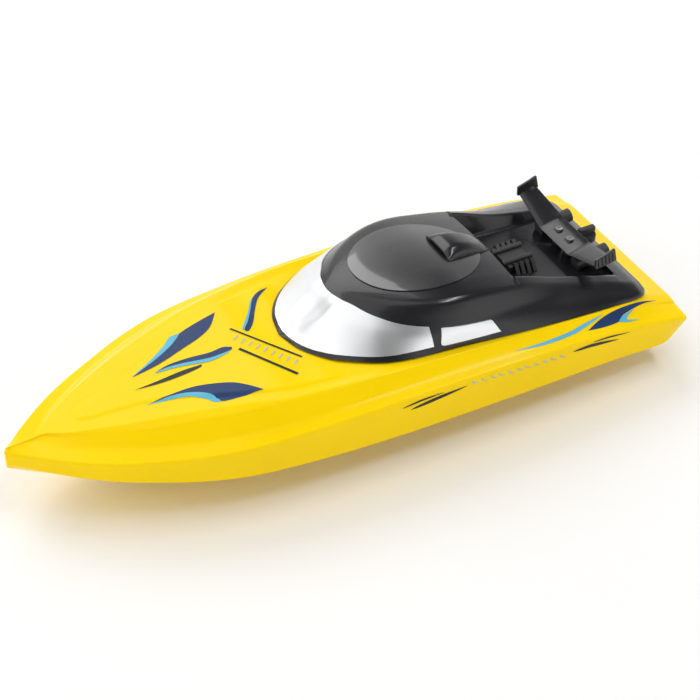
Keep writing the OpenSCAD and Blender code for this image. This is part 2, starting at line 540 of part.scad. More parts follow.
module tiller_arm() color([.15, .15, .16]) translate([rudder_x, 0, arm_z]) arm(stock_r);
module servo_horn() color("white") translate([servo_x, servo_y, arm_z]) arm(2);
module horn_screw() color("silver") translate([servo_x, servo_y, arm_z]) difference() {
    union() {
        translate([0, 0, arm_t]) cylinder(r = 2.6, h = 1.3);
        translate([0, 0, -1.5]) cylinder(r = .8, h = 4);
    }
    translate([0, 0, arm_t + 1.2]) cube([3, .5, 1.2], center = true);
}
module servo_spline() color("gainsboro") translate([servo_x, servo_y, arm_z]) difference() {
    translate([0, 0, -6]) cylinder(r = 2, h = 6 + arm_t);
    translate([0, 0, -1.5]) cylinder(r = .8, h = 5);
}
rod_z = arm_z + arm_t + .9;
module steering_rod() color("silver") {
    for (end = [[rudder_x, -arm_r], [servo_x, servo_y - arm_r]]) translate([end[0], end[1], arm_z - .4])
        cylinder(r = .8, h = rod_z - arm_z + 1.15);
    translate([rudder_x, -arm_r, rod_z]) rotate([0, 0, atan2(servo_y, servo_x - rudder_x)])
        rotate([0, 90, 0]) cylinder(r = .65, h = norm([servo_x - rudder_x, servo_y]));
}
module servo_case() color([.12, .2, .5]) translate([0, servo_y, 0]) difference() {
    union() {
        translate([servo_x - 6, -6, 8]) cube([23, 12, 18]);
        translate([servo_x - 10.5, -6, 20]) cube([32, 12, 2]);
        translate([servo_x, 0, 26]) cylinder(r = 5.6, h = 1.6);
    }
    translate([servo_x, 0, 21.8]) cylinder(r = 2.05, h = 8);
    for (x = [-8.2, 19.2]) translate([servo_x + x, 0, 18]) cylinder(r = 1.1, h = 6);
}
module servo_stand() color("dimgray") difference() {
    for (x = [servo_x - 11, servo_x + 17.2]) translate([x, servo_y - 6, 0]) cube([4.8, 12, 20]);
    for (x = [-8.2, 19.2]) translate([servo_x + x, servo_y, 12]) cylinder(r = .8, h = 12);
    hull_below();
}
module servo_screws() color("silver") for (x = [-8.2, 19.2]) translate([servo_x + x, servo_y, 14]) {
    cylinder(r = .8, h = 8);
    translate([0, 0, 8]) cylinder(r = 1.8, h = 1.2);
}

// ---- power ----
tray_x = -12;
module battery_tray() color("dimgray") difference() {
    union() {
        translate([tray_x, -24, 0]) cube([82, 48, 8]);
        for (side = [-1, 1]) translate([tray_x, side * 23 - 1, 0]) cube([82, 2, 15]);
    }
    translate([tray_x + 3, -22, 7]) cube([76, 44, 20]);
    hull_below();
}
module battery_pack() color([.1, .25, .6]) for (i = [-1, 1]) translate([tray_x + 5, i * 9.3, 7 + 9.2])
    rotate([0, 90, 0]) cylinder(r = 9.2, h = 66);
module battery_strap() color([.1, .1, .1]) translate([tray_x + 30, 0, 0]) difference() {
    union() {
        translate([0, -24, 15]) cube([12, 48, 1.5]);
        translate([0, -20, 15]) cube([12, 40, 12]);
    }
    translate([-1, -18.7, 10]) cube([14, 37.4, 15.4]);
}
receiver_x = -88;
module receiver_box() color([.15, .3, .2]) difference() {
    translate([receiver_x, 18, 4]) cube([28, 20, 18]);
    translate([receiver_x + 1.5, 19.5, 13]) cube([25, 17, 20]);
    hull_below();
}
module receiver_board() color("green") translate([receiver_x + 1.5, 19.5, 14.5]) cube([25, 17, 1.6]);
module receiver_lid() color([.2, .2, .21]) {
    translate([receiver_x, 18, 22]) cube([28, 20, 1.5]);
    translate([receiver_x + 1.5, 19.5, 20]) cube([25, 17, 2]);
}
switch_x = along(.553);
module switch_body() color([.1, .1, .1]) difference() {
    translate([switch_x, 0, 46.6]) cube([10.3, 5.3, 7.6], center = true);
    translate([switch_x, 0, 50.4]) cube([8, 3, 5], center = true);
}
module switch_slider() color("red") translate([switch_x - 2, 0, 0]) {
    translate([0, 0, 48.6]) cube([3.6, 2.8, 1.2], center = true);
    translate([0, 0, 50.4]) cube([2, 2, 3], center = true);
}
module contact_place(side) translate([-20, side * 30, bottom_z(share(-20), 30)]) children();
module water_contacts() color("gold") for (side = [-1, 1]) contact_place(side) {
    translate([0, 0, -1.2]) cylinder(r = 1.2, h = 7);
    translate([0, 0, 4.4]) cylinder(r = 2.4, h = 1.4);
}
drain_r = 2.5;
module drain_place() translate([-half_length, 44, 22]) rotate([0, 90, 0]) children();
module drain_plug() color([.1, .1, .1]) drain_place() {
    cylinder(r = drain_r - .05, h = 4);
    translate([0, 0, 0]) cylinder(r1 = drain_r - .4, r2 = drain_r - .05, h = 1);
}

lower_hull();
upper_deck();
hatch_seal();
canopy();
roof_cap();
windscreen();
side_window_port();
side_window_starboard();
hood_scoop();
engine_vent();
exhaust_tips();
spoiler_wing();
spoiler_struts();
spoiler_screws();
canopy_pegs();
latch_knob();
motor_can();
motor_magnets();
motor_armature();
motor_end_cap();
motor_mount();
motor_screws();
motor_shaft();
coupling();
coupling_screws();
prop_shaft();
stuffing_tube();
shaft_bushes();
propeller();
prop_nut();
rudder_blade();
rudder_stock();
rudder_tube();
tiller_arm();
servo_case();
servo_stand();
servo_screws();
servo_spline();
servo_horn();
horn_screw();
steering_rod();
battery_tray();
battery_pack();
battery_strap();
receiver_box();
receiver_board();
receiver_lid();
switch_body();
switch_slider();
water_contacts();
drain_plug();
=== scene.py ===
"""Toy racing boat: moulded shells, glazing, stickers and fittings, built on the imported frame."""

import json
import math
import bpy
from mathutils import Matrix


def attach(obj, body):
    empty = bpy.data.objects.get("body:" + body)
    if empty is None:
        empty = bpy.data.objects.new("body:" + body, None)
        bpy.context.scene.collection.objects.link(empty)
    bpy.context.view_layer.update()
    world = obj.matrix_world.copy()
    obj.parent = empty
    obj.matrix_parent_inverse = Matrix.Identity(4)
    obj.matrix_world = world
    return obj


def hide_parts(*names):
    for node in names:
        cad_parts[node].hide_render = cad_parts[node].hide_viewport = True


bl_info = {
    "name": "Toy Racing Boat",
    "version": (1, 0, 0),
    "blender": (4, 5, 0),
    "location": "3D View > Sidebar > Boat",
    "description": "Builds the looks of a toy racing boat on its packed frame",
    "category": "Add Mesh",
}

import bmesh
import bpy
from mathutils import Vector, bvhtree, geometry

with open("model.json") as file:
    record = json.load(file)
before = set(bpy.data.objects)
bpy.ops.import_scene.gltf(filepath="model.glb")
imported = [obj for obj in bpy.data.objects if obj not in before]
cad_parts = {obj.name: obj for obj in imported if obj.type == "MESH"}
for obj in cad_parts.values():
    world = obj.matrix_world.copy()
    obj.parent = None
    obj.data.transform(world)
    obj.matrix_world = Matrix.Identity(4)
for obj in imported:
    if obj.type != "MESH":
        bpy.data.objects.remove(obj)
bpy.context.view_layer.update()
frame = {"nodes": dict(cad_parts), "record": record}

MM = 0.001
LENGTH = 340.0
HALF_LENGTH = LENGTH / 2
HALF_BEAM = 62.5
SEAM_DROP = 1.5  # from the deck's edge down to the seam
CAMBER = 0.05  # keeps points on the centre line from lying flat
WALL = 2.0
CANOPY_WALL = 1.6
CHINE_INSET = .935  # chine's half width over the seam's
PAD_HALF = 8.0
PAD_SHARE = .748  # the keel pad's widest, over the seam's half width

# ---- curves along the boat ----
# (share of the length from the transom, value); widths of the hull and deck are in half beams,
# PAD_Y and CROWN are shares of their full values, and all the others are in millimetres
SHEER_Y = [
    (0, .975), (.12, .98), (.3, 1), (.5, .985), (.6, .96), (.7, .905), (.77, .8), (.83, .66),
    (.875, .54), (.915, .405), (.943, .29), (.965, .19), (.98, .115), (.992, .055), (1, .02)]
SHEER_Z = [
    (0, 30), (.05, 33.3), (.12, 37), (.3, 41.4), (.5, 42.3), (.7, 40.3), (.85, 37.6), (1, 36.9)]
CHINE_Z = [
    (0, 21), (.013, 16.5), (.026, 13.2), (.12, 14.2), (.3, 15.6), (.5, 16.4), (.7, 19.4),
    (.85, 23.3), (.95, 27.5), (1, 29.6)]
KEEL_Z = [(0, 0), (.62, 0), (.7, .5), (.78, 2.2), (.85, 6), (.91, 12), (.96, 19), (1, 27)]
PAD_Y = [(0, 1), (.6, 1), (.75, .8), (.88, .42), (.96, .15), (1, .05)]
FOOT_Y = [
    (0, .875), (.3, .904), (.56, .89), (.63, .85), (.7, .789), (.767, .68), (.829, .54),
    (.873, .4), (.915, .238), (.944, .1), (.957, .02), (1, .008)]
FOOT_UP = [(0, .6), (.1, 1.5), (1, 1.5)]
CREST_Y = [
    (0, .79), (.12, .812), (.3, .815), (.45, .8), (.56, .755), (.68, .651), (.76, .528),
    (.82, .416), (.88, .27), (.92, .14), (.943, .03), (.957, .012), (1, .005)]
CREST_Z = [
    (0, 31.8), (.03, 35), (.07, 40.3), (.12, 42.8), (.3, 47), (.45, 50), (.56, 51), (.68, 50.2),
    (.76, 48.8), (.82, 46.8), (.88, 44.3), (.92, 42), (.943, 40), (.96, 39), (1, 38)]
BED_Z = [
    (0, 32.6), (.03, 36.6), (.056, 40.6), (.1, 41.6), (.144, 42.5), (.226, 44.5), (.294, 46.5),
    (.365, 48.3), (.45, 49.6), (.5, 50), (.59, 50.3), (.64, 51), (.7, 51), (.76, 50.2),
    (.82, 48.4), (.88, 45.6), (.92, 43), (.943, 41), (.96, 39.6), (1, 38.4)]
CROWN = [(0, 0), (.56, 0), (.62, .5), (.75, 1), (.9, .3), (1, 0)]
BASE_Y = [
    (.044, 44), (.052, 47), (.06, 48.2), (.074, 49), (.144, 50), (.226, 49.6), (.306, 48.3),
    (.365, 47), (.44, 45.4), (.48, 42.2), (.515, 35.6), (.55, 26), (.574, 13.5), (.583, .8)]
WAIST_Y = [
    (.044, 42.5), (.06, 45.5), (.12, 43), (.176, 41), (.265, 41.8), (.353, 43.4), (.4, 41),
    (.441, 34.5), (.475, 24), (.5, 11), (.53, 10), (.56, 6), (.583, .5)]
WAIST_Z = [
    (.044, 41.6), (.06, 43.5), (.12, 48), (.176, 52), (.265, 56.2), (.353, 59.5), (.441, 63.4),
    (.475, 66.4), (.5, 68.9), (.53, 62.2), (.56, 55.4), (.583, 51.2)]
EDGE_Y = [
    (.044, 38), (.06, 40), (.12, 36.5), (.2, 35), (.3, 36.5), (.353, 37), (.4, 33.5), (.441, 26),
    (.475, 16), (.5, 6), (.53, 5), (.56, 3), (.583, .3)]
EDGE_Z = [
    (.044, 42.4), (.06, 45), (.12, 50), (.176, 55.2), (.25, 63.4), (.33, 68.8), (.38, 70.6),
    (.441, 71), (.475, 70.8), (.5, 69.6), (.53, 62.6), (.56, 55.7), (.583, 51.3)]
ROOF_Z = [
    (.044, 42.6), (.06, 45.4), (.12, 51), (.176, 56.6), (.25, 66), (.33, 71.6), (.38, 73.2),
    (.43, 73.6), (.475, 72.6), (.5, 70), (.53, 62.9), (.56, 55.9), (.583, 51.4)]
BAY_Z = [(.044, 42.6), (.075, 44.6), (.16, 48), (.25, 51)]
BAY_REAR, BAY_FRONT = .075, .25


def smooth(table, s):
    """A smooth curve through the table's points."""
    i = 0
    while i < len(table) - 2 and s > table[i + 1][0]:
        i += 1

    def slope(k):
        a, b = table[max(k - 1, 0)], table[min(k + 1, len(table) - 1)]
        return (b[1] - a[1]) / (b[0] - a[0])

    (x0, p), (x1, q) = table[i], table[i + 1]
    h = x1 - x0
    u = (s - x0) / h
    return (((2 * u - 3) * u * u + 1) * p + ((u - 2) * u + 1) * u * slope(i) * h
            + (3 - 2 * u) * u * u * q + (u - 1) * u * u * slope(i + 1) * h)


def along(s):
    """Place along the boat, in millimetres from midships."""
    return s * LENGTH - HALF_LENGTH


def share(x):
    """The reverse of along."""
    return (x + HALF_LENGTH) / LENGTH


def sheer_y(s):
    return smooth(SHEER_Y, s) * HALF_BEAM


def pad_y(s):
    return min(smooth(PAD_Y, s) * PAD_HALF, sheer_y(s) * PAD_SHARE)


def bottom_z(s, y):
    """Height of the hull's underside at a distance from the centre."""
    chine, chine_z = sheer_y(s) * CHINE_INSET, smooth(CHINE_Z, s)
    keel, pad = max(0, smooth(KEEL_Z, s)), pad_y(s)
    return keel + max(0, y - pad) * (chine_z - keel) / (chine - pad)


# ---- meshes ----
SMOOTH_ANGLE, SHELL_ANGLE = 32, 50
WELD, SLIVER = 2e-6, 1e-7  # metres


def soften(points, radii, steps=4):
    """Rounds the corners of an open line; every section keeps the same number of points."""
    out = [points[0]]
    for i in range(1, len(points) - 1):
        p0, p1, p2 = (Vector(points[k]) for k in (i - 1, i, i + 1))
        d0, d2 = max((p0 - p1).length, 1e-6), max((p2 - p1).length, 1e-6)
        k = min(radii[i], .46 * d0, .46 * d2)
        a, b = p1 + (p0 - p1) / d0 * k, p1 + (p2 - p1) / d2 * k
        for j in range(steps + 1):
            t = j / steps
            out.append(tuple(a * (1 - t) ** 2 + p1 * 2 * t * (1 - t) + b * t * t))
    out.append(points[-1])
    return out


def whole(half, radii, steps=4):
    """A full section from its port half, with its corners rounded."""
    points = half + [(x, -y, z) for x, y, z in reversed(half[:-1])]
    return soften(points, radii + radii[-2::-1], steps)


def shade(mesh, smooth_angle):
    """Smooth shading but for edges sharper than the angle."""
    mesh.shade_smooth()
    mesh.set_sharp_from_angle(angle=math.radians(smooth_angle))


def make_object(name, verts, faces, finish, smooth_angle=SMOOTH_ANGLE):
    """A mesh object in metres from millimetres, smooth but for edges sharper than the angle."""
    mesh = bpy.data.meshes.new(name)
    mesh.from_pydata([(x * MM, y * MM, z * MM) for x, y, z in verts], [], faces)
    bm = bmesh.new()
    bm.from_mesh(mesh)
    bmesh.ops.remove_doubles(bm, verts=bm.verts, dist=WELD)
    bmesh.ops.dissolve_degenerate(bm, dist=SLIVER, edges=bm.edges)
    bmesh.ops.recalc_face_normals(bm, faces=bm.faces)
    bm.to_mesh(mesh)
    bm.free()
    shade(mesh, smooth_angle)
    obj = bpy.data.objects.new(name, mesh)
    bpy.context.scene.collection.objects.link(obj)
    if finish:
        mesh.materials.append(finish)
    return obj


def two_skins(outer, inner):
    """Points of two matching grids, faces of both and of the walls along their sides, and the
    number of points in one row and in one grid."""
    n, m = len(outer[0]), len(outer[0]) * len(outer)
    verts = [p for row in outer + inner for p in row]
    faces = []
    for a in range(0, m - n, n):
        b = a + n
        for i in range(n - 1):
            faces.append((a + i, a + i + 1, b + i + 1, b + i))
            faces.append((m + b + i, m + b + i + 1, m + a + i + 1, m + a + i))
        faces.append((a, b, m + b, m + a))
        faces.append((a + n - 1, m + a + n - 1, m + b + n - 1, b + n - 1))
    return verts, faces, n, m


def shell_mesh(outer, inner):
    """Points and faces of a hollow shell whose two ends are walled."""
    verts, faces, n, m = two_skins(outer, inner)
    for start in (0, m, m - n, 2 * m - n):
        for i in range((n - 1) // 2):
            j = start + n - 1 - i
            loop = (start + i, j, j - 1, start + i + 1)
            faces.append(loop if j - 1 != start + i + 1 else loop[:3])
    for e in (0, m - n):
        faces.append((e, m + e, m + e + n - 1, e + n - 1))
    return verts, faces


def slab_mesh(top, under):
    """Points and faces of a plate, or of an open-ended shell, between two matching grids."""
    verts, faces, n, m = two_skins(top, under)
    for e in (0, m - n):
        for i in range(n - 1):
            faces.append((e + i, e + i + 1, m + e + i + 1, m + e + i))
    return verts, faces


def prism(outline, low, high, axis="z"):
    """Points and faces of a straight prism over a flat outline."""
    n = len(outline)
    place = {"z": lambda a, b, c: (a, b, c), "y": lambda a, b, c: (a, c, b)}[axis]
    verts = [place(a, b, low) for a, b in outline] + [place(a, b, high) for a, b in outline]
    faces = [tuple(range(n)), tuple(range(2 * n - 1, n - 1, -1))]
    faces += [(i, (i + 1) % n, n + (i + 1) % n, n + i) for i in range(n)]
    return verts, faces


def circle(x, y, r, n=40, ry=None):
    """Points of a circle, or of an ellipse with a second radius."""
    turns = [2 * math.pi * i / n for i in range(n)]
    return [(x + r * math.cos(a), y + (ry or r) * math.sin(a)) for a in turns]


def rounded_box(x0, x1, y0, y1, r, n=8):
    out = []
    corners = ((x1 - r, y1 - r), (x0 + r, y1 - r), (x0 + r, y0 + r), (x1 - r, y0 + r))
    for (cx, cy), start in zip(corners, (0, 90, 180, 270)):
        for i in range(n + 1):
            a = math.radians(start + 90 * i / n)
            out.append((cx + r * math.cos(a), cy + r * math.sin(a)))
    return out


def apply_modifiers(obj):
    """Turns the modified shape into the mesh itself."""
    graph = bpy.context.evaluated_depsgraph_get()
    mesh = bpy.data.meshes.new_from_object(obj.evaluated_get(graph))
    obj.modifiers.clear()
    obj.data = mesh


def cut(obj, tool_parts, operation="DIFFERENCE", smooth_angle=SMOOTH_ANGLE):
    """Booleans the object with one or more closed meshes, applied at once."""
    for verts, faces in tool_parts:
        tool = make_object("tool", verts, faces, None)
        mod = obj.modifiers.new("cut", "BOOLEAN")
        mod.operation, mod.solver, mod.object = operation, "EXACT", tool
        bpy.context.view_layer.update()
        apply_modifiers(obj)
        bpy.data.objects.remove(tool)
    shade(obj.data, smooth_angle)


def add_bevel(obj, width, angle):
    """Rounds the edges sharper than the angle by a width in metres."""
    mod = obj.modifiers.new("edge", "BEVEL")
    mod.width, mod.segments = width, 2
    mod.limit_method, mod.angle_limit = "ANGLE", math.radians(angle)


def finish_piece(obj, body, nodes, bevel=0.0):
    """Bevel in millimetres, even shading, and the frame's calls for one finished piece."""
    if bevel:
        add_bevel(obj, bevel * MM, 38)
    mod = obj.modifiers.new("shading", "WEIGHTED_NORMAL")
    mod.keep_sharp = True
    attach(obj, body)
    if nodes:
        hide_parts(*nodes)


# ---- materials ----
NOISE_SPAN = (.3, .7)  # the part of the noise that is spread over a range


def new_material(name):
    mat = bpy.data.materials.new(name)
    mat.use_nodes = True
    return mat, mat.node_tree, mat.node_tree.nodes["Principled BSDF"]


def mottled(tree, shader, low, high, scale, colours, stretch=(1, 1, 1)):
    """Roughness and colour wander between two values each in a fine noise."""
    coords = tree.nodes.new("ShaderNodeTexCoord")
    spread = tree.nodes.new("ShaderNodeMapping")
    spread.inputs["Scale"].default_value = stretch
    noise = tree.nodes.new("ShaderNodeTexNoise")
    noise.inputs["Scale"].default_value = scale
    noise.inputs["Detail"].default_value = 4
    tree.links.new(coords.outputs["Object"], spread.inputs["Vector"])
    tree.links.new(spread.outputs["Vector"], noise.inputs["Vector"])
    span = tree.nodes.new("ShaderNodeMapRange")
    ends = zip(("From Min", "From Max", "To Min", "To Max"), (*NOISE_SPAN, low, high))
    for socket, value in ends:
        span.inputs[socket].default_value = value
    tree.links.new(noise.outputs["Fac"], span.inputs["Value"])
    tree.links.new(span.outputs["Result"], shader.inputs["Roughness"])
    ramp = tree.nodes.new("ShaderNodeValToRGB")
    for element, place, colour in zip(ramp.color_ramp.elements, NOISE_SPAN, colours):
        element.position, element.color = place, (*colour, 1)
    tree.links.new(noise.outputs["Fac"], ramp.inputs["Fac"])
    tree.links.new(ramp.outputs["Color"], shader.inputs["Base Color"])
    return spread


def skin_bump(tree, shader, vector, scale, strength):
    """A fine surface texture from noise, as bump."""
    noise = tree.nodes.new("ShaderNodeTexNoise")
    noise.inputs["Scale"].default_value = scale
    noise.inputs["Detail"].default_value = 3
    tree.links.new(vector.outputs["Vector"], noise.inputs["Vector"])
    bump = tree.nodes.new("ShaderNodeBump")
    bump.inputs["Strength"].default_value = strength
    bump.inputs["Distance"].default_value = .2 * MM
    tree.links.new(noise.outputs["Fac"], bump.inputs["Height"])
    tree.links.new(bump.outputs["Normal"], shader.inputs["Normal"])


def tints(colour, darker, lighter):
    """Two shades of a colour."""
    return [tuple(min(1, c * factor) for c in colour) for factor in (darker, lighter)]


def plastic(name, colour, low, high, coat=0.0, grain=.05, scale=60, grain_scale=900, spread=.06,
            shine=.5):
    mat, tree, shader = new_material(name)
    shader.inputs["Specular IOR Level"].default_value = shine
    shader.inputs["Coat Weight"].default_value = coat
    shader.inputs["Coat Roughness"].default_value = .06
    vector = mottled(tree, shader, low, high, scale, tints(colour, 1 - spread, 1 + spread))
    skin_bump(tree, shader, vector, grain_scale, grain)
    return mat


def metal(name, colour, low, high, stretch=(1, 1, 1), scale=300, grain=.04):
    mat, tree, shader = new_material(name)
    shader.inputs["Metallic"].default_value = 1
    vector = mottled(tree, shader, low, high, scale, tints(colour, .93, 1.05), stretch)
    skin_bump(tree, shader, vector, scale * 3, grain)
    return mat


# maker, material's name, colour or the setting that holds it, roughness low and high, the rest
FINISHES = {
    "hull_yellow": (plastic, "moulded_yellow", "hull_colour", .14, .22,
                    dict(coat=.02, grain=.02, scale=25, spread=.02, shine=.08)),
    "canopy_black": (plastic, "gloss_black", "canopy_colour", .2, .3,
                     dict(coat=.2, grain=.02, scale=30, shine=.45)),
    "cap_black": (plastic, "smoked_roof_cap", "canopy_colour", .26, .34,
                  dict(coat=1, grain=.02, scale=30, shine=.9)),
    "window_mirror": (metal, "mirror_film", "window_colour", .3, .36, dict(scale=20, grain=.01)),
    "black_plastic": (plastic, "grained_black", (.022, .022, .024), .38, .55,
                      dict(grain=.2, scale=120)),
    "seal_foam": (plastic, "closed_cell_foam", (.03, .03, .032), .75, .95,
                  dict(grain=.6, grain_scale=1800)),
    "steel": (metal, "turned_steel", (.56, .57, .58), .2, .36, dict(stretch=(12, 1, 1))),
    "brass": (metal, "drawn_brass", (.72, .5, .2), .22, .38, dict(stretch=(1, 12, 12))),
    "screw_metal": (metal, "plated_screw", (.75, .75, .77), .12, .28, {}),
    "prop_red": (plastic, "propeller_red", (.42, .02, .012), .25, .4, dict(grain=.08)),
    "copper_winding": (metal, "enamelled_copper", (.55, .22, .09), .25, .45,
                       dict(stretch=(30, 1, 1))),
    "magnet": (plastic, "sintered_magnet", (.07, .07, .075), .6, .85, dict(grain=.3)),
    "servo_blue": (plastic, "servo_blue", (.02, .07, .32), .2, .34, dict(grain=.06)),
    "white_plastic": (plastic, "nylon_white", (.78, .78, .74), .35, .5, dict(grain=.1, spread=.03)),
    "battery_wrap": (plastic, "shrink_wrap", (.02, .1, .42), .18, .36,
                     dict(coat=.3, grain=.15, grain_scale=350)),
    "board_green": (plastic, "solder_mask", (.01, .16, .05), .28, .42, dict(grain=.12)),
    "switch_red": (plastic, "switch_red", (.5, .02, .012), .35, .5, dict(grain=.1)),
    "gold_contact": (metal, "gold_plate", (.85, .62, .22), .12, .25, {}),
    "drain_rubber": (plastic, "soft_rubber", (.02, .02, .02), .7, .9, dict(grain=.25)),
    "sticker_navy": (plastic, "sticker_navy", "navy_colour", .2, .3, dict(grain=.02, shine=.12)),
    "sticker_sky": (plastic, "sticker_sky", "sky_colour", .2, .3, dict(grain=.02, shine=.12)),
    "sticker_ink": (plastic, "sticker_ink", (.02, .03, .03), .2, .3, dict(grain=.02, shine=.12)),
    "sticker_silver": (plastic, "sticker_silver", (.42, .5, .42), .22, .34,
                       dict(grain=.03, shine=.2)),
}
MATERIALS = {}


def material(key):
    """The finish of that name, made once."""
    if key not in MATERIALS:
        maker, name, colour, low, high, options = FINISHES[key]
        if isinstance(colour, str):
            colour = tuple(getattr(bpy.context.scene.toy_boat, colour))
        MATERIALS[key] = maker(name, colour, low, high, **options)
    return MATERIALS[key]


# ---- hull and deck sections ----
WELL_FRONT, WELL_HALF, WELL_ROOF = -136.0, 30.0, 23.4
HULL_RADII = [0, 3, 1.1, .5, 3, 3, 6]
DECK_RADII = [0, .4, .9, 2.2, 2, 2.4, 1.5, 3, 12, 30]


def hull_half(x, well, inside=False):
    """The hull's port half section from the seam to the keel, with or without the stern well."""
    s = share(x)
    y, top = sheer_y(s), smooth(SHEER_Z, s) - SEAM_DROP
    c, cz, k, p = y * CHINE_INSET, smooth(CHINE_Z, s), max(0, smooth(KEEL_Z, s)), pad_y(s)
    step = 2.2 * min(1, c / 20)
    quarter = p + (c - p) * .5
    brink = WELL_HALF + 2
    if not inside:
        lift = CAMBER if s > .9 else 0
        return [(x, y, top), (x, (y + c) / 2, (top + cz) / 2), (x, c, cz), (x, c - step, cz - .4),
                (x, brink, max(bottom_z(s, brink), cz - 4)) if well else
                (x, quarter, bottom_z(s, quarter)),
                (x, WELL_HALF, WELL_ROOF) if well else (x, p, k),
                (x, 0, WELL_ROOF + CAMBER if well else k + lift)]
    t = WALL
    thin = max(.35, c - 1.2 * t) / max(.4, c)
    lift = min(1.15 * t, (top - k) * .6) if s > .6 else t
    return [(x, max(y - t, .3), top), (x, max((y + c) / 2 - t, .28), (top + cz) / 2),
            (x, c * thin, min(cz + .6 * t, top - .6)),
            (x, (c - step) * thin, min(cz + .6 * t - .2, top - .8)),
            (x, brink + t, max(bottom_z(s, brink), cz - 4) + t) if well else
            (x, quarter * thin, min(bottom_z(s, quarter * thin) + 1.05 * t, top - 1)),
            (x, WELL_HALF + t, WELL_ROOF + t) if well else (x, p * thin, k + lift),
            (x, 0, (WELL_ROOF + t if well else k + lift) + CAMBER)]


def hull_inner_x(x):
    """Where the inner skin's section lies, so that the transom, well and bow keep a wall."""
    if x < WELL_FRONT:
        return max(x, -HALF_LENGTH + WALL) + (WALL if x > -HALF_LENGTH + 12 else 0)
    return min(x + (WALL if x < WELL_FRONT + 1 else 0), HALF_LENGTH - 7 + (x - HALF_LENGTH) * .12)


def deck_half(x, inside=False):
    """The deck's port half section from the seam up to the centre line."""
    s = share(x)
    y, zs = sheer_y(s), smooth(SHEER_Z, s)
    f, c = smooth(FOOT_Y, s) * HALF_BEAM, smooth(CREST_Y, s) * HALF_BEAM
    zc, zb, up, cr = (smooth(table, s) for table in (CREST_Z, BED_Z, FOOT_UP, CROWN))
    if not inside:
        return [(x, y, zs - SEAM_DROP), (x, y - .35 * min(1, y / 4), zs - .3),
                (x, max(y - 1.1, y * .6), zs), (x, f, zs + up),
                (x, c + (f - c) * .12, zc - .7 * min(1, c / 3)), (x, c, zc),
                (x, c * .94, zc - (zc - zb) * .6), (x, c * .9, zb - cr * .3),
                (x, c * .45, zb - cr * .1), (x, 0, zb + CAMBER)]
    t, g = WALL, min(1, y / 16)
    return [(x, y - t * .9 * g - .15, zs - SEAM_DROP), (x, y - t * g - .2, zs - SEAM_DROP * .9),
            (x, max(y - t * g - .9, y * .5), zs - SEAM_DROP * .75),
            (x, f * .985 - .3 * g, zs + up - t * .8),
            (x, max(c - t * .2, c * .9) * .985, zc - t - 1), (x, c * .96, zc - t - .4),
            (x, c * .9, min(zc, zb) - t - .2), (x, c * .85, zb - cr * .3 - t),
            (x, c * .42, zb - cr * .1 - t), (x, 0, zb - t + CAMBER)]


def rim_z(s):
    """Height of the deck's crest or bed, whichever is higher."""
    return max(smooth(CREST_Z, s), smooth(BED_Z, s))


def canopy_opened(s):
    """Whether the sunk bay crosses the section."""
    return BAY_REAR + .001 < s < BAY_FRONT - .001


def canopy_half(s, opened, out=0.0):
    """The canopy's port half section from its rim to the centre line, stood out by a distance."""
    b = smooth(BASE_Y, s)
    w = min(smooth(WAIST_Y, s), b * .98)
    e = min(smooth(EDGE_Y, s), w * .9)
    zb = rim_z(s) + .35
    zw = max(smooth(WAIST_Z, s), zb + .3)
    ze = max(smooth(EDGE_Z, s), zw + .15)
    zr = max(smooth(ROOF_Z, s), ze + .1)
    x, f = along(s), min(1, b / 12)
    o, floor = out * f, smooth(BAY_Z, s)
    return [(x, b + o, zb), (x, b + (w - b) * .3 + .6 * f + o, zb + (zw - zb) * .32),
            (x, b + (w - b) * .64 + .7 * f + o, zb + (zw - zb) * .68 + out * .2),
            (x, w + o * .9, zw + out * .5),
            (x, e + (w - e) * .45 + o * .6, ze - (ze - zw) * .4 + out * .8),
            (x, e + o * .3, ze + out),
            (x, e * .84, (zr - .2 if opened else ze + (zr - ze) * .3) + out),
            (x, e * .72, (floor if opened else ze + (zr - ze) * .5) + out),
            (x, e * .4, (floor - .3 if opened else ze + (zr - ze) * .84) + out),
            (x, 0, (floor - .3 if opened else zr) + out)]


def canopy_inside(x, s, opened):
    """The inner skin's half section, a wall's thickness inside the outer one."""
    line = canopy_half(s, opened)
    (_, rim_y, rim), t, last = line[0], CANOPY_WALL, len(line) - 1
    out = [(x, max(rim_y - t * min(1, rim_y / 12), last * .02), rim)]
    for i, (_, y, z) in enumerate(line[1:], 1):
        dy = t * .8 if opened and i in (6, 7) else 0 if i > 5 else -t * min(1, rim_y / 12)
        dz = -t * .25 if i < 4 else -t
        out.append((x, max(y + dy, (last - i) * .02), max(z + dz, rim + .02 * i)))
    return out


def spaced(marks, gap):
    """Numbers through the marks, no further apart than the gap."""
    out = []
    for a, b in zip(marks, marks[1:]):
        n = max(1, math.ceil((b - a) / gap))
        out += [a + (b - a) * i / n for i in range(n)]
    return out + [marks[-1]]


CANOPY_MARKS = (spaced([.044, .047, .052, .06, .075], .003) + spaced([.0765, .2485], .006)
                + spaced([.25, .53], .006) + spaced([.533, .572, .579, .583], .004))
CANOPY_RADII = [0, 3, 4, 1.6, 7, 6, 1.6, 1.8, 8, 20]
CANOPY_TIP = CANOPY_MARKS[-1]


def canopy_rows(out=0.0):
    """The canopy's outer sections from stern to bow."""
    return [whole(canopy_half(s, canopy_opened(s), out), CANOPY_RADII) for s in CANOPY_MARKS]


def stock_panel(name, out, outline, low, high, axis, key):
    """A thin panel that stands out of the canopy's surface within a prism over the outline."""
    obj = make_object(name, *slab_mesh(canopy_rows(out), canopy_rows(.02)), material(key))
    cut(obj, [prism(outline, low, high, axis)], "INTERSECT", 40)
    return obj


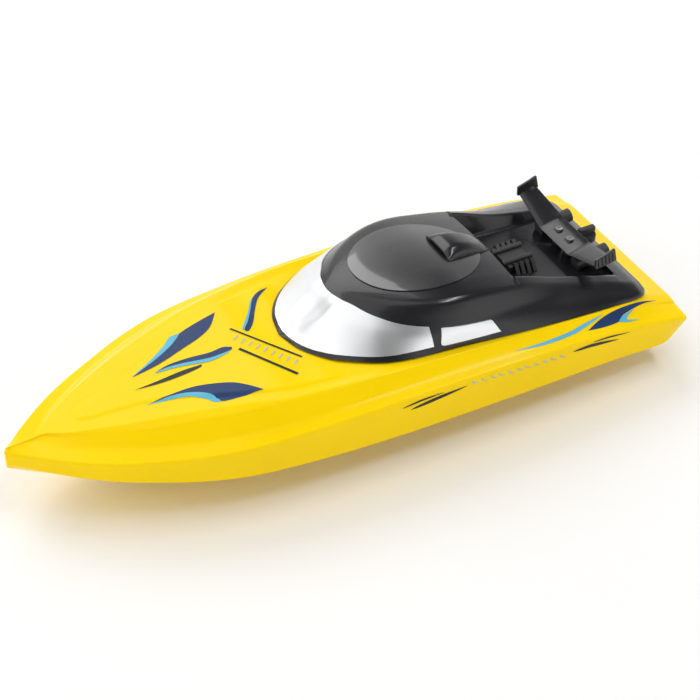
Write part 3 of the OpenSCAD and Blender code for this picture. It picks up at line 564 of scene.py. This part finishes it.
# ---- stickers ----
def surface_tree(rows_list):
    """A search tree over one or more grids of points."""
    verts, polys = [], []
    for rows in rows_list:
        n, base = len(rows[0]), len(verts)
        verts += [Vector(p) for row in rows for p in row]
        for j in range(len(rows) - 1):
            for i in range(n - 1):
                a, b = base + j * n + i, base + (j + 1) * n + i
                polys.append((a, a + 1, b + 1, b))
    return bvhtree.BVHTree.FromPolygons(verts, polys)


def flowing(points, steps=5):
    """A closed outline through the points, curved except where it turns sharply."""
    n, out = len(points), []

    def sharp(i):
        a, b, c = (Vector(points[k % n]) for k in (i - 1, i, i + 1))
        return (a - b).angle(c - b, 0) < math.radians(75)

    for i in range(n):
        p0, p1, p2, p3 = (Vector(points[k % n]) for k in (i - 1, i, i + 1, i + 2))
        m1 = (p2 - p1) * .6 if sharp(i) else (p2 - p0) / 2
        m2 = (p2 - p1) * .6 if sharp(i + 1) else (p3 - p1) / 2
        for j in range(steps):
            t = j / steps
            out.append(tuple(p1 * (2 * t ** 3 - 3 * t * t + 1) + m1 * (t ** 3 - 2 * t * t + t)
                             + p2 * (3 * t * t - 2 * t ** 3) + m2 * (t ** 3 - t * t)))
    return out


# the raised hood on the foredeck: (distance ahead of midships, half width)
HOOD_Y = [
    (10, 42.5), (31, 40), (46, 37.5), (61, 33), (81, 24), (100, 15.2), (117, 10.9), (130, 8),
    (137, 4)]
HOOD_RISE = .75


def ease(t):
    """A soft step from 0 to 1."""
    t = min(max(t, 0), 1)
    return t * t * (3 - 2 * t)


def hood_rise(x, y):
    """How far the hood stands up at a point of the deck."""
    rear, front = HOOD_Y[0][0], HOOD_Y[-1][0]
    if not rear < x < front:
        return 0
    flank = ease((smooth(HOOD_Y, x) - abs(y)) / 2.4)
    return HOOD_RISE * flank * ease((x - rear) / 12) * ease((front - x) / 4)


def inside(point, line):
    """Whether a point lies inside a closed outline."""
    odd = False
    for a, b in zip(line, line[1:] + line[:1]):
        if (a.y > point.y) != (b.y > point.y):
            odd ^= point.x < a.x + (b.x - a.x) * (point.y - a.y) / (b.y - a.y)
    return odd


FAR = 200  # outside the boat, where the rays start
LIFT = .12  # of a film off its shell
DECK_EDGE_LIFT, RIM_EDGE_LIFT = .14, .15  # of the light edges, which lap over the dark flames


def sticker(name, tree, outline, key, side=0, lift=LIFT, curved=True, grid=1.6):
    """A thin film on the shells: side 0 is laid from above, 1 and -1 from port and starboard."""
    line = [Vector(p) for p in (flowing(outline) if curved else outline)]
    xs, ys = [p.x for p in line], [p.y for p in line]
    points = list(line)
    gx = math.floor(min(xs))
    while gx < max(xs):
        gy = math.floor(min(ys))
        while gy < max(ys):
            spot = Vector((gx + .013, gy + .017))
            if inside(spot, line):
                points.append(spot)
            gy += grid
        gx += grid
    flat, _, tris, *_ = geometry.delaunay_2d_cdt(points, [], [list(range(len(line)))], 1, 1e-5)
    outward = Vector((0, side, 0)) if side else Vector((0, 0, 1))
    verts = []
    for p in flat:
        start = Vector((p.x, FAR * side, p.y)) if side else Vector((p.x, p.y, FAR))
        hit, normal, *_ = tree.ray_cast(start, -outward)
        if hit is None:
            raise RuntimeError(f"{name} runs off the shell at {tuple(p)}")
        if normal.dot(outward) < 0:
            normal = -normal
        verts.append(tuple(hit + normal * (lift + (0 if side else hood_rise(hit.x, hit.y)))))
    obj = make_object(name, verts, [tuple(t) for t in tris], material(key), 80)
    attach(obj, "hull")


def bar(x0, y0, x1, y1, width):
    """The corners of a straight strip between two points."""
    d = Vector((x1 - x0, y1 - y0)).normalized()
    n = Vector((-d.y, d.x)) * width / 2
    return [(x0 + n.x, y0 + n.y), (x1 + n.x, y1 + n.y), (x1 - n.x, y1 - n.y), (x0 - n.x, y0 - n.y)]


# flames on the foredeck: name, finish, outline of (x, y)
DECK_FLAMES = [
    ("flame_fore_port", "sticker_navy", [
        (105, 14.5), (93.3, 14.7), (79.4, 15.8), (65.5, 20.8), (58.9, 25.9), (53, 33),
        (63.8, 32.2), (73.4, 30.4), (76, 23.8), (83.2, 18.4), (92, 15.8)]),
    ("flame_fore_port_edge", "sticker_sky", [
        (105, 14.6), (92, 15.9), (83.2, 18.5), (76, 23.9), (73.4, 30.5), (76.5, 29.4), (79, 25.4),
        (84.5, 20.8), (92.9, 17.5)]),
    ("flame_centre", "sticker_navy", [
        (92.7, -2.6), (84.4, -4.7), (73.8, -4.3), (63.9, -3), (56.5, -3.6), (52.4, -1.6),
        (54.6, .2), (65.1, .6), (78.1, -2.2), (86.7, -3.3)]),
    ("flame_centre_edge", "sticker_sky", [
        (92.8, -2.3), (86.7, -3.2), (78.1, -2.1), (65.1, .7), (54.6, .3), (57, 1.5), (66, 2.9),
        (79, -.3), (87.5, -1.8)]),
    ("flame_thin", "sticker_ink", [
        (105, 2.9), (93.5, 3.1), (80.5, 2.6), (70.7, 3.1), (72.3, 4.6), (82, 5.6), (92.9, 5.2)]),
    ("flame_fore_starboard", "sticker_navy", [
        (102.8, -5.8), (88.7, -11.1), (78.9, -16), (72.4, -20.8), (69.8, -23.3), (60, -26.6),
        (48, -29.8), (54.9, -20.9), (62.6, -15.9), (72.7, -12.3), (88, -7.5)]),
    ("flame_fore_starboard_edge", "sticker_sky", [
        (102.8, -5.9), (90.8, -11.9), (80.5, -18.6), (75.8, -22.8), (69.8, -23.4), (72.4, -20.9),
        (78.9, -16.1), (88.7, -11.2)]),
    ("flame_after_starboard", "sticker_navy", [
        (16.1, -36.7), (24, -30.9), (30, -22.5), (34.8, -14.7), (39.6, -9.5), (41.2, -11.1),
        (36.5, -16.8), (31.6, -24.1), (26.4, -32.2), (21.2, -35.6)]),
    ("flame_after_starboard_edge", "sticker_sky", [
        (24.9, -33.2), (28.7, -30.2), (32.9, -24), (37.8, -17.5), (41.9, -12.3), (41.3, -11.2),
        (36.6, -16.9), (31.7, -24.2), (26.5, -32.3)]),
]
# flames laid from above near the stern, on both sides
RIM_FLAMES = [
    ("streak_rim", "sticker_sky", [
        (-70, 56.4), (-85.7, 56.3), (-102, 55.1), (-111.9, 53.4), (-125, 51.6), (-115.1, 54.3),
        (-102.3, 56.9), (-86.2, 57.8)]),
    ("flame_rim", "sticker_navy", [
        (-112.5, 56.8), (-121, 53.6), (-131, 51.6), (-145, 50.2), (-160, 48.4), (-143.7, 51.9),
        (-135, 54), (-131, 56.4), (-122, 57.2)]),
    ("flame_rim_edge", "sticker_sky", [
        (-131, 56.5), (-134.6, 54.3), (-143.7, 52.2), (-138, 54.5), (-136, 56.2), (-143, 57.4),
        (-136, 57.6)]),
]
# streaks on the hull's two sides: name, finish, width, middle line of (x, z)
SIDE_STREAKS = [
    ("streak_aft_upper", "sticker_ink", 1.2, [(-112.5, 35.9), (-123, 35.2), (-135.3, 33.2)]),
    ("streak_aft_lower", "sticker_ink", 2.3, [(-101, 34.2), (-112, 33.8), (-129.5, 30.7)]),
    ("streak_mid_upper", "sticker_ink", 1.4, [(-5.3, 36.8), (-15, 38.1), (-28, 38.5)]),
    ("streak_mid_lower", "sticker_ink", 2.4, [(-10, 33.8), (-25, 35.8), (-41.2, 37.4)]),
]


def leaf(line, width, steps=14):
    """The outline of a streak that tapers to a point at both ends of its middle line."""
    middle = resample([Vector((x, y, 0)) for x, y in line], steps + 1)
    upper, lower = [], []
    for i, point in enumerate(middle):
        along_line = (middle[min(i + 1, steps)] - middle[max(i - 1, 0)]).normalized()
        half = width / 2 * math.sin(math.pi * (i / steps) ** .8) ** .8 if 0 < i < steps else .02
        upper.append((point.x - along_line.y * half, point.y + along_line.x * half))
        lower.append((point.x + along_line.y * half, point.y - along_line.x * half))
    return upper + lower[::-1]


# ---- the add-on ----
def colour_setting(name, description, default):
    return bpy.props.FloatVectorProperty(name=name, description=description, default=default,
                                         subtype="COLOR", size=3, min=0, max=1)


def length_setting(name, description, default, low, high):
    return bpy.props.FloatProperty(name=name, description=description, default=default, min=low,
                                   max=high, subtype="DISTANCE", unit="LENGTH")


class BoatSettings(bpy.types.PropertyGroup):
    """Colours and sizes that a maker would change"""
    hull_colour: colour_setting("Hull", "Colour of the moulded hull and deck", (.98, .67, .002))
    canopy_colour: colour_setting("Canopy", "Colour of the moulded canopy", (.008, .008, .010))
    window_colour: colour_setting("Windows", "Colour of the mirror film", (.86, .87, .88))
    navy_colour: colour_setting("Flame", "Colour of the dark flames", (.022, .05, .14))
    sky_colour: colour_setting("Flame edge", "Colour of the flames' light edges", (.12, .48, .66))
    pane: length_setting("Pane", "How far the windows stand out, in metres", .0005, .0002, .001)
    edge: length_setting("Edge", "Twice the rounding of small parts, in metres", .0004, .0001, .001)


# places of the openings, the same as in the fittings: millimetres from midships
RUDDER_X, RUDDER_HOLE = -162, 2.6
LATCH_X, LATCH_HOLE = -148.24, 2.2
PEG_X, PEG_Y, PEG_HOLE = 4, 22, 1.9
SWITCH_HOLE = (12.8, 23.2, -2.7, 2.7, .6)
HATCH = (-76, -2, -30, 30, 14)
HATCH_RIM = (-78, 0, -32, 32, 16)


class BOAT_OT_hull(bpy.types.Operator):
    """Moulds the lower hull with its stern well"""
    bl_idname = "boat.hull"
    bl_label = "Lower hull"

    def execute(self, context):
        marks = spaced([-HALF_LENGTH, -165.6, -161.2, WELL_FRONT - .6], 4)
        marks += spaced([WELL_FRONT, along(.62)], 5)
        marks += spaced([along(s) for s in (.623, .8, .9, .957, .988, .996, 1)], 2.4)
        outer = [whole(hull_half(x, x < WELL_FRONT), HULL_RADII) for x in marks]
        inner = [whole(hull_half(hull_inner_x(x), x < WELL_FRONT, True), HULL_RADII) for x in marks]
        obj = make_object("hull_moulding", *shell_mesh(outer, inner),
                          material("hull_yellow"), SHELL_ANGLE)
        cut(obj, [prism(circle(RUDDER_X, 0, RUDDER_HOLE), 20, 30)], smooth_angle=SHELL_ANGLE)
        finish_piece(obj, "hull", ("lower_hull",))
        return {"FINISHED"}


class BOAT_OT_deck(bpy.types.Operator):
    """Moulds the upper deck and its hatch rim"""
    bl_idname = "boat.deck"
    bl_label = "Upper deck"

    def execute(self, context):
        marks = []
        for gap, shares in ((1.8, (0, .03, .07, .12)), (4, (.125, .56)),
                            (2, (.565, .85, .957, .982, .998))):
            marks += spaced([along(s) for s in shares], gap)

        def inner_x(x):
            return max(x, -168 + (x + 170) * .02) if x < 0 else min(x, 159 + (x - 170) * .1)

        outer = [whole(deck_half(x), DECK_RADII, 5) for x in marks]
        inner = [whole(deck_half(inner_x(x), True), DECK_RADII, 5) for x in marks]
        obj = make_object("deck_moulding", *shell_mesh(outer, inner),
                          material("hull_yellow"), SHELL_ANGLE)
        hatch = prism(rounded_box(*HATCH), 30, 80)
        tools = [hatch, prism(circle(LATCH_X, 0, LATCH_HOLE), 30, 60),
                 prism(rounded_box(*SWITCH_HOLE), 40, 60)]
        tools += [prism(circle(PEG_X, side * PEG_Y, PEG_HOLE), 40, 60) for side in (-1, 1)]
        cut(obj, tools, smooth_angle=SHELL_ANGLE)
        finish_piece(obj, "hull", ("upper_deck",))
        rim = make_object("hatch_rim", *prism(rounded_box(*HATCH_RIM), 44, 53),
                          material("hull_yellow"))
        cut(rim, [hatch])
        finish_piece(rim, "hull", (), bevel=.4)
        return {"FINISHED"}


class BOAT_OT_canopy(bpy.types.Operator):
    """Moulds the canopy shell with its sunk bay"""
    bl_idname = "boat.canopy"
    bl_label = "Canopy"

    def execute(self, context):
        outer = canopy_rows()
        inner = []
        for s in CANOPY_MARKS:
            # the inner skin stops a wall's thickness short of the outer one at both ends
            i = s + CANOPY_WALL / LENGTH if s < .046 else min(s, .5755 + (s - CANOPY_TIP) * .3)
            inner.append(whole(canopy_inside(along(i), i, canopy_opened(s)), CANOPY_RADII))
        obj = make_object("canopy_moulding", *shell_mesh(outer, inner),
                          material("canopy_black"), 42)
        finish_piece(obj, "canopy", ("canopy",))
        return {"FINISHED"}


def resample(points, count):
    """Evenly spaced points along a line of points."""
    lengths = [0]
    for a, b in zip(points, points[1:]):
        lengths.append(lengths[-1] + (Vector(b) - Vector(a)).length)
    out, i = [], 0
    for k in range(count):
        want = lengths[-1] * k / (count - 1)
        while i < len(points) - 2 and want > lengths[i + 1]:
            i += 1
        t = (want - lengths[i]) / max(lengths[i + 1] - lengths[i], 1e-9)
        out.append(Vector(points[i]).lerp(Vector(points[i + 1]), t))
    return out


PILLAR = .408  # share of the length where the windscreen ends on either side
RIM_HEIGHT = 4.2  # of the windscreen's lower edge over the deck
BROW = (.5065, 68.6)  # share and height of its upper edge on the centre line
CAP_X, CAP_LONG, CAP_HALF = -46.2, 34, 27


def evened(line, rounds=14):
    """The line with its kinks worn down and its two ends kept."""
    for _ in range(rounds):
        inner = [(a + b * 2 + c) / 4 for a, b, c in zip(line, line[1:], line[2:])]
        line = [line[0]] + inner + [line[-1]]
    return line


def windscreen_film(out):
    """The mirror film round the canopy's front, from pillar to pillar and from rim to brow."""
    tree = surface_tree([canopy_rows()])
    low, high = [], []
    for i in range(41):
        s = PILLAR + (.5832 - PILLAR) * i / 40
        low.append((along(s), smooth(BASE_Y, s) if s < CANOPY_TIP else 0, rim_z(s) + RIM_HEIGHT))
        s = PILLAR + (.5 - PILLAR) * i / 40
        high.append((along(s), smooth(WAIST_Y, s), smooth(WAIST_Z, s) - .2))
    high.append((along(BROW[0]), 0, BROW[1]))
    count, levels = 121, 13
    low, high = (evened(resample(line + [(x, -y, z) for x, y, z in reversed(line[:-1])], count))
                 for line in (low, high))
    verts, faces = [], []
    for lift in (.01, out):
        for a, b in zip(low, high):
            for j in range(levels):
                hit, normal, *_ = tree.find_nearest(a.lerp(b, j / (levels - 1)))
                if normal.dot(hit - Vector((0, 0, 30))) < 0:
                    normal = -normal
                verts.append(tuple(hit + normal * lift))
    half = count * levels
    for i in range(count - 1):
        for j in range(levels - 1):
            a = half + i * levels + j
            faces.append((a, a + 1, a + levels + 1, a + levels))
        for j in (0, levels - 1):
            a = i * levels + j
            faces.append((a, a + levels, half + a + levels, half + a))
    for i in (0, count - 1):
        for j in range(levels - 1):
            a = i * levels + j
            faces.append((a, a + 1, half + a + 1, half + a))
    return make_object("windscreen_film", verts, faces, material("window_mirror"), SHELL_ANGLE)


class BOAT_OT_glazing(bpy.types.Operator):
    """Lays the mirror film of the windscreen and side windows, and the roof cap"""
    bl_idname = "boat.glazing"
    bl_label = "Windows and roof cap"

    def execute(self, context):
        out = context.scene.toy_boat.pane / MM
        finish_piece(windscreen_film(out), "canopy", ("windscreen",))
        window = [(along(s), z) for s, z in (
            (.301, 50.4), (.303, 51.2), (.311, 56.2), (.314, 56.8), (.389, 60.3), (.392, 60),
            (.3965, 54), (.3955, 52.8), (.39, 52.3))]
        for name, low, high in (("port", 10, 70), ("starboard", -70, -10)):
            pane = stock_panel(f"side_film_{name}", out, window, low, high, "y", "window_mirror")
            finish_piece(pane, "canopy", (f"side_window_{name}",))
        oval = circle(CAP_X, 0, CAP_LONG, 96, CAP_HALF)
        cap = stock_panel("roof_cap_moulding", out * 1.1, oval, 55, 110, "z", "cap_black")
        finish_piece(cap, "canopy", ("roof_cap",))
        return {"FINISHED"}


class BOAT_OT_scoop(bpy.types.Operator):
    """Moulds the intake scoop on the roof"""
    bl_idname = "boat.scoop"
    bl_label = "Roof scoop"

    def execute(self, context):
        # place along the boat, half width and top of each section, from the mouth to the tail
        marks = [(-59.4, 11, 74.2), (-61, 10.7, 75), (-63.5, 10, 75.6), (-68, 9.2, 75.4),
                 (-74, 8.4, 73.6), (-80, 7.6, 70.6), (-85, 6.8, 66.6), (-89, 5.8, 61.6),
                 (-92, 4.8, 57), (-93.4, 4.2, 54)]
        radii, outer, inner = [0, 2.5, 3, 12], [], []
        for x, half, top in marks:
            low = min(roof_at(x) - .8, top - 2)
            line = [(x, half * 1.06, low), (x, half, low + (top - low) * .55),
                    (x, half * .62, top - .25), (x, 0, top)]
            outer.append(whole(line, radii, 5))
            line = [(x, max(y - 1 if i < 3 else 0, 0), z - (1.1 if i else 0))
                    for i, (x, y, z) in enumerate(line)]
            inner.append(whole(line, radii, 5))
        obj = make_object("scoop_moulding", *slab_mesh(outer, inner),
                          material("canopy_black"), SHELL_ANGLE)
        finish_piece(obj, "canopy", ("hood_scoop",))
        return {"FINISHED"}


def roof_at(x):
    """Height of the canopy's surface on the centre line."""
    s = share(x)
    return smooth(BAY_Z, s) - .3 if canopy_opened(s) else smooth(ROOF_Z, s)


WING_X, WING_Z, WING_PITCH = along(.104), 53.0, math.radians(9)
BEND = 13  # distance from the centre where the wing turns up
TIP_RISE = 7.7


class BOAT_OT_wing(bpy.types.Operator):
    """Moulds the gull wing with its end plates"""
    bl_idname = "boat.wing"
    bl_label = "Wing"

    def execute(self, context):
        sine, cosine = math.sin(WING_PITCH), math.cos(WING_PITCH)

        def place(u, y, w, rise):
            """A point u ahead of the wing's middle and w above its plane."""
            return (WING_X + u * cosine + w * sine, y, WING_Z + rise - u * sine + w * cosine)

        def plate_outline(points):
            """Points of an end plate in the boat's side view."""
            return [place(u, 0, w + 1.3, TIP_RISE)[::2] for u, w in points]

        top, under = [], []
        for y in spaced([-36.4, -BEND, BEND, 36.4], 1.6):
            a = abs(y)
            out = max(a - BEND, 0)
            blend = max(0, min(1, (a - 10) / 6))
            rise = blend * (.13 + (a - BEND) * .3) if a > 10 else 0
            front, rear = 6.3 - out / 23, 7.7 - out * 2.7 / 23
            across = [-rear, -rear + .5, -rear * .5, 0, front * .6, front - .9, front]
            top.append([place(u, y, w, rise)
                        for u, w in zip(across, (.2, .75, .98, 1, .9, .6, .12))])
            under.append([place(u, y, w, rise)
                          for u, w in zip(across, (-.2, -.65, -.95, -1, -.95, -.6, -.12))])
        obj = make_object("wing_moulding", *slab_mesh(top, under),
                          material("canopy_black"), SHELL_ANGLE)
        screws = [prism(circle(WING_X + .6, side * 5, 2.3), WING_Z + .75, 70) for side in (-1, 1)]
        cut(obj, screws, smooth_angle=SHELL_ANGLE)
        finish_piece(obj, "canopy", ("spoiler_wing",))
        corners = [(-6.4, -3.4), (0, -3.6), (6.4, -3.1), (5.6, 2.3), (-.5, 3.1), (-6, 4.3),
                   (-6.4, -3.4)]
        outline = plate_outline(soften(corners, [0, 1, .8, .9, 3, .9, 0])[:-1])
        for side, name in ((1, "port"), (-1, "starboard")):
            plate = make_object(f"end_plate_{name}", *prism(outline, side * 35.4, side * 36.7, "y"),
                                material("canopy_black"), 40)
            finish_piece(plate, "canopy", (), bevel=.3)
            for i in range(5):
                u = -4.4 + 2.1 * i
                rear, front = u - .35, u + .35
                rib = plate_outline([(rear, -2.6), (front, -2.6), (front, 2.2), (rear, 2.2)])
                piece = make_object(f"plate_rib_{name}_{i}",
                                    *prism(rib, side * 36.6, side * 37.1, "y"),
                                    material("canopy_black"), 40)
                finish_piece(piece, "canopy", (), bevel=.15)
        return {"FINISHED"}


DECK_BARS = (((47.2, -14.8), (26.1, 19.8)), ((50.1, 1.1), (33.6, 30.2)))
DECK_DASHES, SIDE_DASHES = 9, 11


class BOAT_OT_stickers(bpy.types.Operator):
    """Lays the printed flames, bars and streaks on the shells"""
    bl_idname = "boat.stickers"
    bl_label = "Stickers"

    def execute(self, context):
        deck = [whole(deck_half(x), DECK_RADII, 5) for x in spaced([-HALF_LENGTH, along(.998)], 2)]
        hull = [whole(hull_half(x, x < WELL_FRONT), HULL_RADII)
                for x in spaced([-HALF_LENGTH, HALF_LENGTH - 1], 3)]
        tree = surface_tree([deck, hull])
        edge = [(x, smooth(HOOD_Y, x)) for x in range(HOOD_Y[0][0], HOOD_Y[-1][0] + 1, 3)]
        edge += [(x, -y) for x, y in reversed(edge)]
        sticker("hood_moulding", tree, edge, "hull_yellow", lift=-LIFT, curved=False, grid=1.2)
        for name, key, outline in DECK_FLAMES:
            sticker(name, tree, outline, key, lift=DECK_EDGE_LIFT if "edge" in name else LIFT)
        for side, where in ((1, "port"), (-1, "starboard")):
            for name, key, outline in RIM_FLAMES:
                sticker(f"{name}_{where}", tree, [(x, side * y) for x, y in outline], key,
                        lift=RIM_EDGE_LIFT if "edge" in name else LIFT)
            for name, key, width, line in SIDE_STREAKS:
                sticker(f"{name}_{where}", tree, leaf(line, width), key, side, curved=False)
            # a row of plain slanted dashes where a printed word would be
            for i in range(SIDE_DASHES):
                x, z = -45 - 5 * i, 38.2 - .42 * i
                dash = bar(x, z - 1.1, x + 2.2 - (i % 3) * .5, z + 1.3, .85)
                sticker(f"side_dash_{where}_{i}", tree, dash, "sticker_silver", side, curved=False)
                dot = bar(x - 2, z - 1.2, x - .4, z - .9, .6)
                sticker(f"side_dot_{where}_{i}", tree, dot, "sticker_silver", side, curved=False)
        for i, (a, b) in enumerate(DECK_BARS):
            sticker(f"deck_bar_{i}", tree, bar(*a, *b, 1.1 + .5 * i), "sticker_ink", curved=False)
        for i in range(DECK_DASHES):
            t = (i + .5) / DECK_DASHES
            x, y = 48.6 - 19.5 * t, -9 + 33 * t
            dash = bar(x - 1.5, y - 1.3, x + 1.9, y + .9, .8)
            sticker(f"deck_dash_{i}", tree, dash, "sticker_silver", curved=False)
        return {"FINISHED"}


class BOAT_OT_fittings(bpy.types.Operator):
    """Gives every carried-over part its finish and a slight edge"""
    bl_idname = "boat.fittings"
    bl_label = "Fittings"

    def execute(self, context):
        slots = {p["node"]: p["material_slot"] for p in frame["record"]["subparts"]}
        for name, obj in frame["nodes"].items():
            obj.data.materials.clear()
            obj.data.materials.append(material(slots[name]))
            add_bevel(obj, context.scene.toy_boat.edge / 2, 40)
        return {"FINISHED"}


# the studio's white walls, bright near the floor and dim overhead: places on the ramp, greys
SKY_PLACES = (.28, .62)
SKY_GREYS = (1.15, .16)
FLOOR_HALF = 1500
# name, watts, size in metres, place in metres
LAMPS = (("key", 35, (2.5, 1.6), (.13, -1.91, 2.16)),
         ("front", 22, (2.0, 3.2), (1.05, 0, 2.07)),
         ("top", 16, (1.6, .18), (-1.1, .46, 2.25)))
LAMPS_AIM = Vector((0, 0, .03))
CAMERA_AZIMUTH, CAMERA_ELEVATION, CAMERA_DISTANCE = math.radians(151.53), math.radians(39.3), 1.02
CAMERA_TARGET, CAMERA_LENS = Vector((-.0108, -.0004, .0262)), 105.93


class BOAT_OT_stage(bpy.types.Operator):
    """Sets the pale floor, the soft lights and the camera"""
    bl_idname = "boat.stage"
    bl_label = "Stage"

    def execute(self, context):
        scene = context.scene
        scene.view_settings.view_transform = "Standard"
        h = FLOOR_HALF
        floor = make_object("floor", [(-h, -h, 0), (h, -h, 0), (h, h, 0), (-h, h, 0)],
                            [(0, 1, 2, 3)], None)
        mat, tree, shader = new_material("pale_floor")
        shader.inputs["Specular IOR Level"].default_value = .2
        mottled(tree, shader, .6, .7, 3, ((.93, .93, .93), (.95, .95, .95)))
        floor.data.materials.append(mat)
        world = bpy.data.worlds.new("studio")
        world.use_nodes = True
        nodes, links = world.node_tree.nodes, world.node_tree.links
        coords, split = nodes.new("ShaderNodeTexCoord"), nodes.new("ShaderNodeSeparateXYZ")
        ramp = nodes.new("ShaderNodeValToRGB")
        links.new(coords.outputs["Generated"], split.inputs["Vector"])
        links.new(split.outputs["Z"], ramp.inputs["Fac"])
        links.new(ramp.outputs["Color"], nodes["Background"].inputs["Color"])
        for element, place, grey in zip(ramp.color_ramp.elements, SKY_PLACES, SKY_GREYS):
            element.position, element.color = place, (grey, grey, grey, 1)
        scene.world = world

        for name, power, size, place in LAMPS:
            data = bpy.data.lights.new(name, "AREA")
            data.energy, data.shape, data.size, data.size_y = power, "RECTANGLE", *size
            lamp = bpy.data.objects.new(name, data)
            lamp.location = place
            lamp.rotation_euler = (LAMPS_AIM - lamp.location).to_track_quat("-Z", "Y").to_euler()
            scene.collection.objects.link(lamp)
        level = math.cos(CAMERA_ELEVATION)
        back = Vector((math.sin(CAMERA_AZIMUTH) * level, -math.cos(CAMERA_AZIMUTH) * level,
                       math.sin(CAMERA_ELEVATION)))
        data = bpy.data.cameras.new("camera")
        data.lens, data.sensor_width = CAMERA_LENS, 36
        data.clip_start, data.clip_end = .05, 50
        camera = bpy.data.objects.new("camera", data)
        camera.location = CAMERA_TARGET + back * CAMERA_DISTANCE
        camera.rotation_euler = (-back).to_track_quat("-Z", "Y").to_euler()
        scene.collection.objects.link(camera)
        scene.camera = camera
        return {"FINISHED"}


OPERATORS = (BOAT_OT_stage, BOAT_OT_fittings, BOAT_OT_hull, BOAT_OT_deck, BOAT_OT_canopy,
             BOAT_OT_glazing, BOAT_OT_scoop, BOAT_OT_wing, BOAT_OT_stickers)


class BOAT_PT_panel(bpy.types.Panel):
    """Lists the boat's pieces and settings"""
    bl_idname = "BOAT_PT_panel"
    bl_label = "Toy Racing Boat"
    bl_space_type = "VIEW_3D"
    bl_region_type = "UI"
    bl_category = "Boat"

    def draw(self, context):
        for name in BoatSettings.__annotations__:
            self.layout.prop(context.scene.toy_boat, name)
        for operator in OPERATORS:
            self.layout.operator(operator.bl_idname)


def register():
    for cls in (BoatSettings, *OPERATORS, BOAT_PT_panel):
        bpy.utils.register_class(cls)
    bpy.types.Scene.toy_boat = bpy.props.PointerProperty(type=BoatSettings)


def unregister():
    del bpy.types.Scene.toy_boat
    for cls in reversed((BoatSettings, *OPERATORS, BOAT_PT_panel)):
        bpy.utils.unregister_class(cls)


def main():
    register()
    for operator in OPERATORS:
        group, name = operator.bl_idname.split(".")
        getattr(getattr(bpy.ops, group), name)()
    bpy.context.view_layer.update()


if __name__ == "__main__":
    main()
